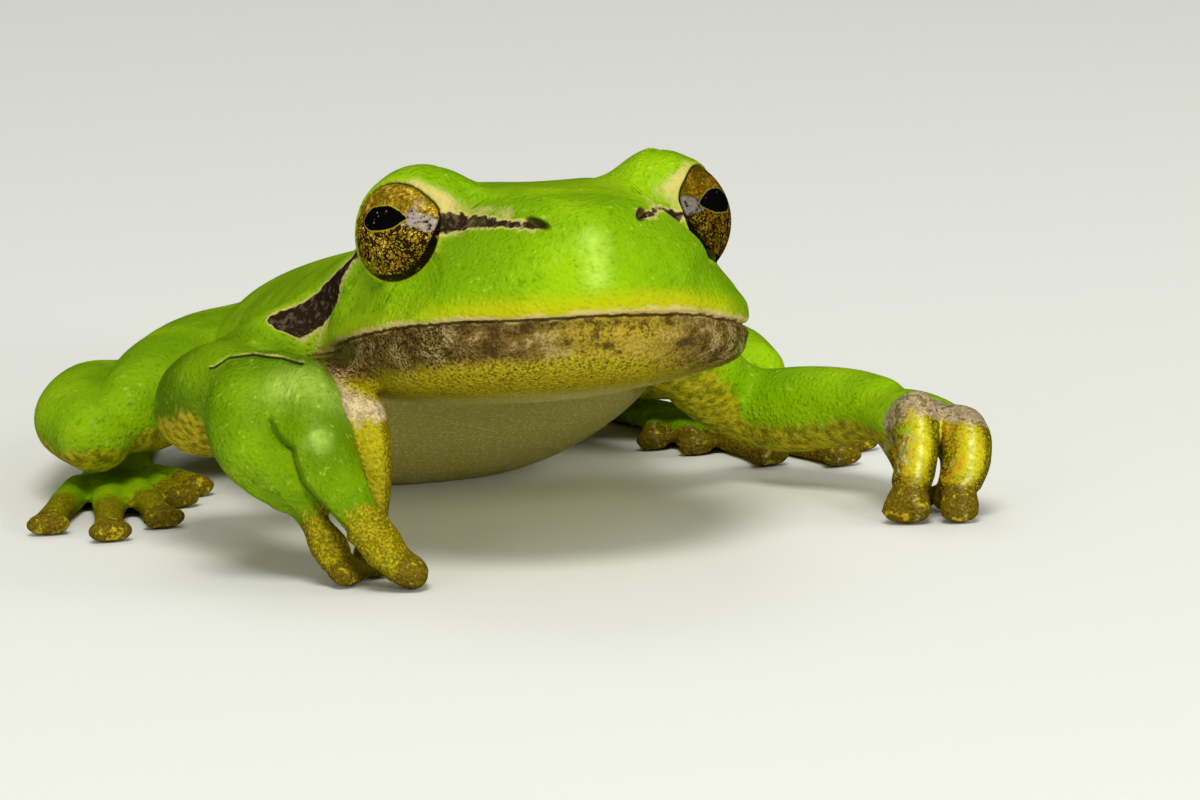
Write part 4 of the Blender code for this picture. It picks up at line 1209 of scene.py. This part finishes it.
def irisMaterial(name, look):
    # gold with a dark net, a pale patch in front painted as a reflection, painted glints in the pupil, the
    # pupil in its ring, and the dark rim under the lids
    material = newMaterial(name, look)
    even = place()
    fine, mid = grain(even, 0.09, 3.0, 0.65), grain(even, 0.35)
    above, forward = share("above"), share("forward")
    webbing = plus(cells(wavy(even, 0.09, 0.14), 0.15, "DISTANCE_TO_EDGE"),
                   step(grain(even, 0.16, 3.0), 0.35, 0.65, -0.08, 0.08))
    front = step(forward, look["halfLength"] - 0.25, look["halfLength"] + 0.15)
    # the pale patch in front of the pupil: a painted reflection
    patch = times(front, step(absolute(plus(above, step(mid, 0.2, 0.8, -0.2, 0.2))), 0.42, 0.2))
    depth = plus(share("pupil"), step(fine, 0.25, 0.75, -0.025, 0.025))
    # glints: tiny painted reflections in the pupil
    glints = times(step(cells(even, 0.17), 0.22, 0.12), step(mid, 0.5, 0.56))
    # the rim is wider low in front, as a crescent
    lowFront = maths("SUBTRACT", times(forward, 0.6), above)
    edge = plus(share("rim"), plus(step(lowFront, 1.0, 2.2, 0.0, 0.1), step(fine, 0.25, 0.75, -0.01, 0.01)))
    rimGold = times(step(fine, 0.58, 0.66), step(lowFront, 1.0, 1.5, 0.0, 0.7))
    colour = layered(
        blend(step(fine, 0.42, 0.62), "gold", "bright"),
        (step(mid, 0.6, 0.4, 0.0, 0.8), "olive"),
        (step(grain(even, 0.14), 0.52, 0.62, 0.0, 0.6), "rust"),
        (times(step(webbing, 0.2, 0.1), step(above, 0.7, -0.2, 0.5, 0.98)), "net"),
        (times(patch, 0.8), blend(step(fine, 0.36, 0.5), "net", "pale")),
        (step(depth, -0.07, -0.04, 0.0, 0.85), "ring"),
        (step(depth, -0.02, 0.01), "pupil"),
        (times(glints, step(depth, 0.03, 0.08, 0.0, 0.6)), "glint"),
        (step(edge, 0.955, 0.985), blend(rimGold, "rim", "gold")))
    feed(shader.inputs["Base Color"], colour)
    return material


fleshNodes = [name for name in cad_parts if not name.startswith("eye_")]
setShares(skinMesh, skinShares(points, normalsOf(skinMesh)))
newPiece("skin", skinMesh, skinMaterial("frog skin", frogSkin), fleshNodes)
for side, word in ((-1, "right"), (1, "left")):
    # each eye is a ball of its own in the lids
    ball = ballShell(fromHead([eyeAxes(side)[0]])[0], eye["radius"], 160, 95)
    ballMesh = welded(meshFrom("eyeball_" + word, *ball), 1e-6)
    setShares(ballMesh, irisShares(pointsOf(ballMesh), side))
    # the left iris takes darker colours: painted shade
    irisLook = iris if side < 0 else {**iris, **iris["paintedShadeColours"]}
    newPiece("eyeball_" + word, ballMesh, irisMaterial("iris " + word, irisLook), ["eye_" + word])
print("pieces made")

# floor, backdrop, light and camera
studio = {
    "paper": {"Base Color": (0.84, 0.85, 0.82, 1), "Roughness": 0.9},
    # the sheet, in metres
    "halfWidth": 0.9, "front": -0.6, "bendAt": 0.35, "bend": 0.25, "top": 0.7,
    # the camera; distance and widths in millimetres
    "azimuth": math.radians(16.5), "elevation": math.radians(9.0), "roll": math.radians(3.0),
    "distance": 217.0, "frameWidth": 43.6, "sensor": 36.0, "aimRight": 1.95, "aimDown": 6.4,
    "room": (1.0, 1.0, 0.97, 1), "roomLight": 0.33, "aim": (0.0, -0.01, 0.006),
}
# place, width in metres, watts, colour, whether the skin mirrors it, and where it points if not at the chest
lamps = {
    "key lamp": ((-0.06, -0.24, 0.42), 0.22, 0.95, (1.0, 0.98, 0.92), False),
    "sheen lamp": ((-0.07, -0.22, 0.44), 0.2, 0.32, (1.0, 0.98, 0.92), True),
    "side lamp": ((-0.34, -0.28, 0.14), 0.24, 0.2, (1.0, 1.0, 0.94), False),
    "front lamp": ((0.08, -0.45, 0.10), 0.05, 0.65, (1.0, 1.0, 0.96), False),
    "fill lamp": ((0.34, -0.20, 0.18), 0.24, 0.3, (1.0, 1.0, 0.96), False),
    "back lamp": ((0.05, 0.34, 0.36), 0.24, 0.35, (1.0, 1.0, 0.95), False, (0.0, 0.0, 0.006)),
}


def addSheet(bendSteps=20, riseSteps=8, columns=12):
    # one sheet: level under the frog, then a quarter circle up, then upright behind it
    turn = np.linspace(0.06, 1.57, bendSteps)
    along = np.concatenate([np.linspace(studio["front"], studio["bendAt"], bendSteps),
                            studio["bendAt"] + studio["bend"] * np.sin(turn),
                            np.full(riseSteps, studio["bendAt"] + studio["bend"])])
    height = np.concatenate([np.zeros(bendSteps), studio["bend"] * (1 - np.cos(turn)),
                             np.linspace(studio["bend"] + 0.02, studio["top"], riseSteps)])
    across = np.linspace(-studio["halfWidth"], studio["halfWidth"], columns)
    shape = (len(along), columns)
    grid = np.stack([np.broadcast_to(across, shape), np.broadcast_to(along[:, None], shape),
                     np.broadcast_to(height[:, None], shape)], axis=-1).reshape(-1, 3)
    k = (np.arange(len(along) - 1)[:, None] * columns + np.arange(columns - 1)).ravel()
    mesh = meshFrom("studio_sheet", grid, np.column_stack([k, k + 1, k + columns + 1, k + columns]))
    mesh.polygons.foreach_set("use_smooth", np.ones(len(mesh.polygons), bool))
    mesh.materials.append(newMaterial("pale paper", {"finish": studio["paper"]}))
    sheet = placed("studio_sheet", mesh)
    sheet.visible_glossy = False  # so that no white sheen lies over the wet skin


def addLamp(name, spot, width, watts, colour, mirrored, aim=studio["aim"]):
    # a round area lamp that faces the frog
    lamp = bpy.data.lights.new(name, "AREA")
    lamp.shape, lamp.size, lamp.energy, lamp.color = "DISK", width, watts, colour
    holder = placed(name, lamp)
    holder.location = spot
    holder.visible_glossy = mirrored
    holder.rotation_euler = (Vector(aim) - Vector(spot)).to_track_quat("-Z", "Y").to_euler()


addSheet()
for name, lampRow in lamps.items():
    addLamp(name, *lampRow)
world = bpy.data.worlds.new("soft room")
bpy.context.scene.world = world
world.use_nodes = True
world.node_tree.nodes["Background"].inputs["Color"].default_value = studio["room"]
world.node_tree.nodes["Background"].inputs["Strength"].default_value = studio["roomLight"]
world.cycles_visibility.glossy = False
bpy.context.scene.view_settings.view_transform = "Standard"

# the camera's own right, up and back directions, rolled
turn, lift, roll = studio["azimuth"], studio["elevation"], studio["roll"]
level = np.array([math.cos(turn), -math.sin(turn), 0.0])
back = np.array([-math.sin(turn) * math.cos(lift), -math.cos(turn) * math.cos(lift), math.sin(lift)])
upright = np.cross(back, level)
right = math.cos(roll) * level - math.sin(roll) * upright
top = math.cos(roll) * upright + math.sin(roll) * level
middle = eyeMid + studio["aimRight"] * right - studio["aimDown"] * top
camera = placed("camera", bpy.data.cameras.new("camera"))
camera.data.sensor_width = studio["sensor"]
camera.data.lens = studio["sensor"] * studio["distance"] / studio["frameWidth"]
camera.data.clip_start = 0.01
spot = (middle + studio["distance"] * back) * mm
camera.matrix_world = Matrix([(*row, spot[k]) for k, row in enumerate(np.column_stack([right, top, back]))]
                             + [(0, 0, 0, 1)])
bpy.context.scene.camera = camera
print("camera and lamps set")
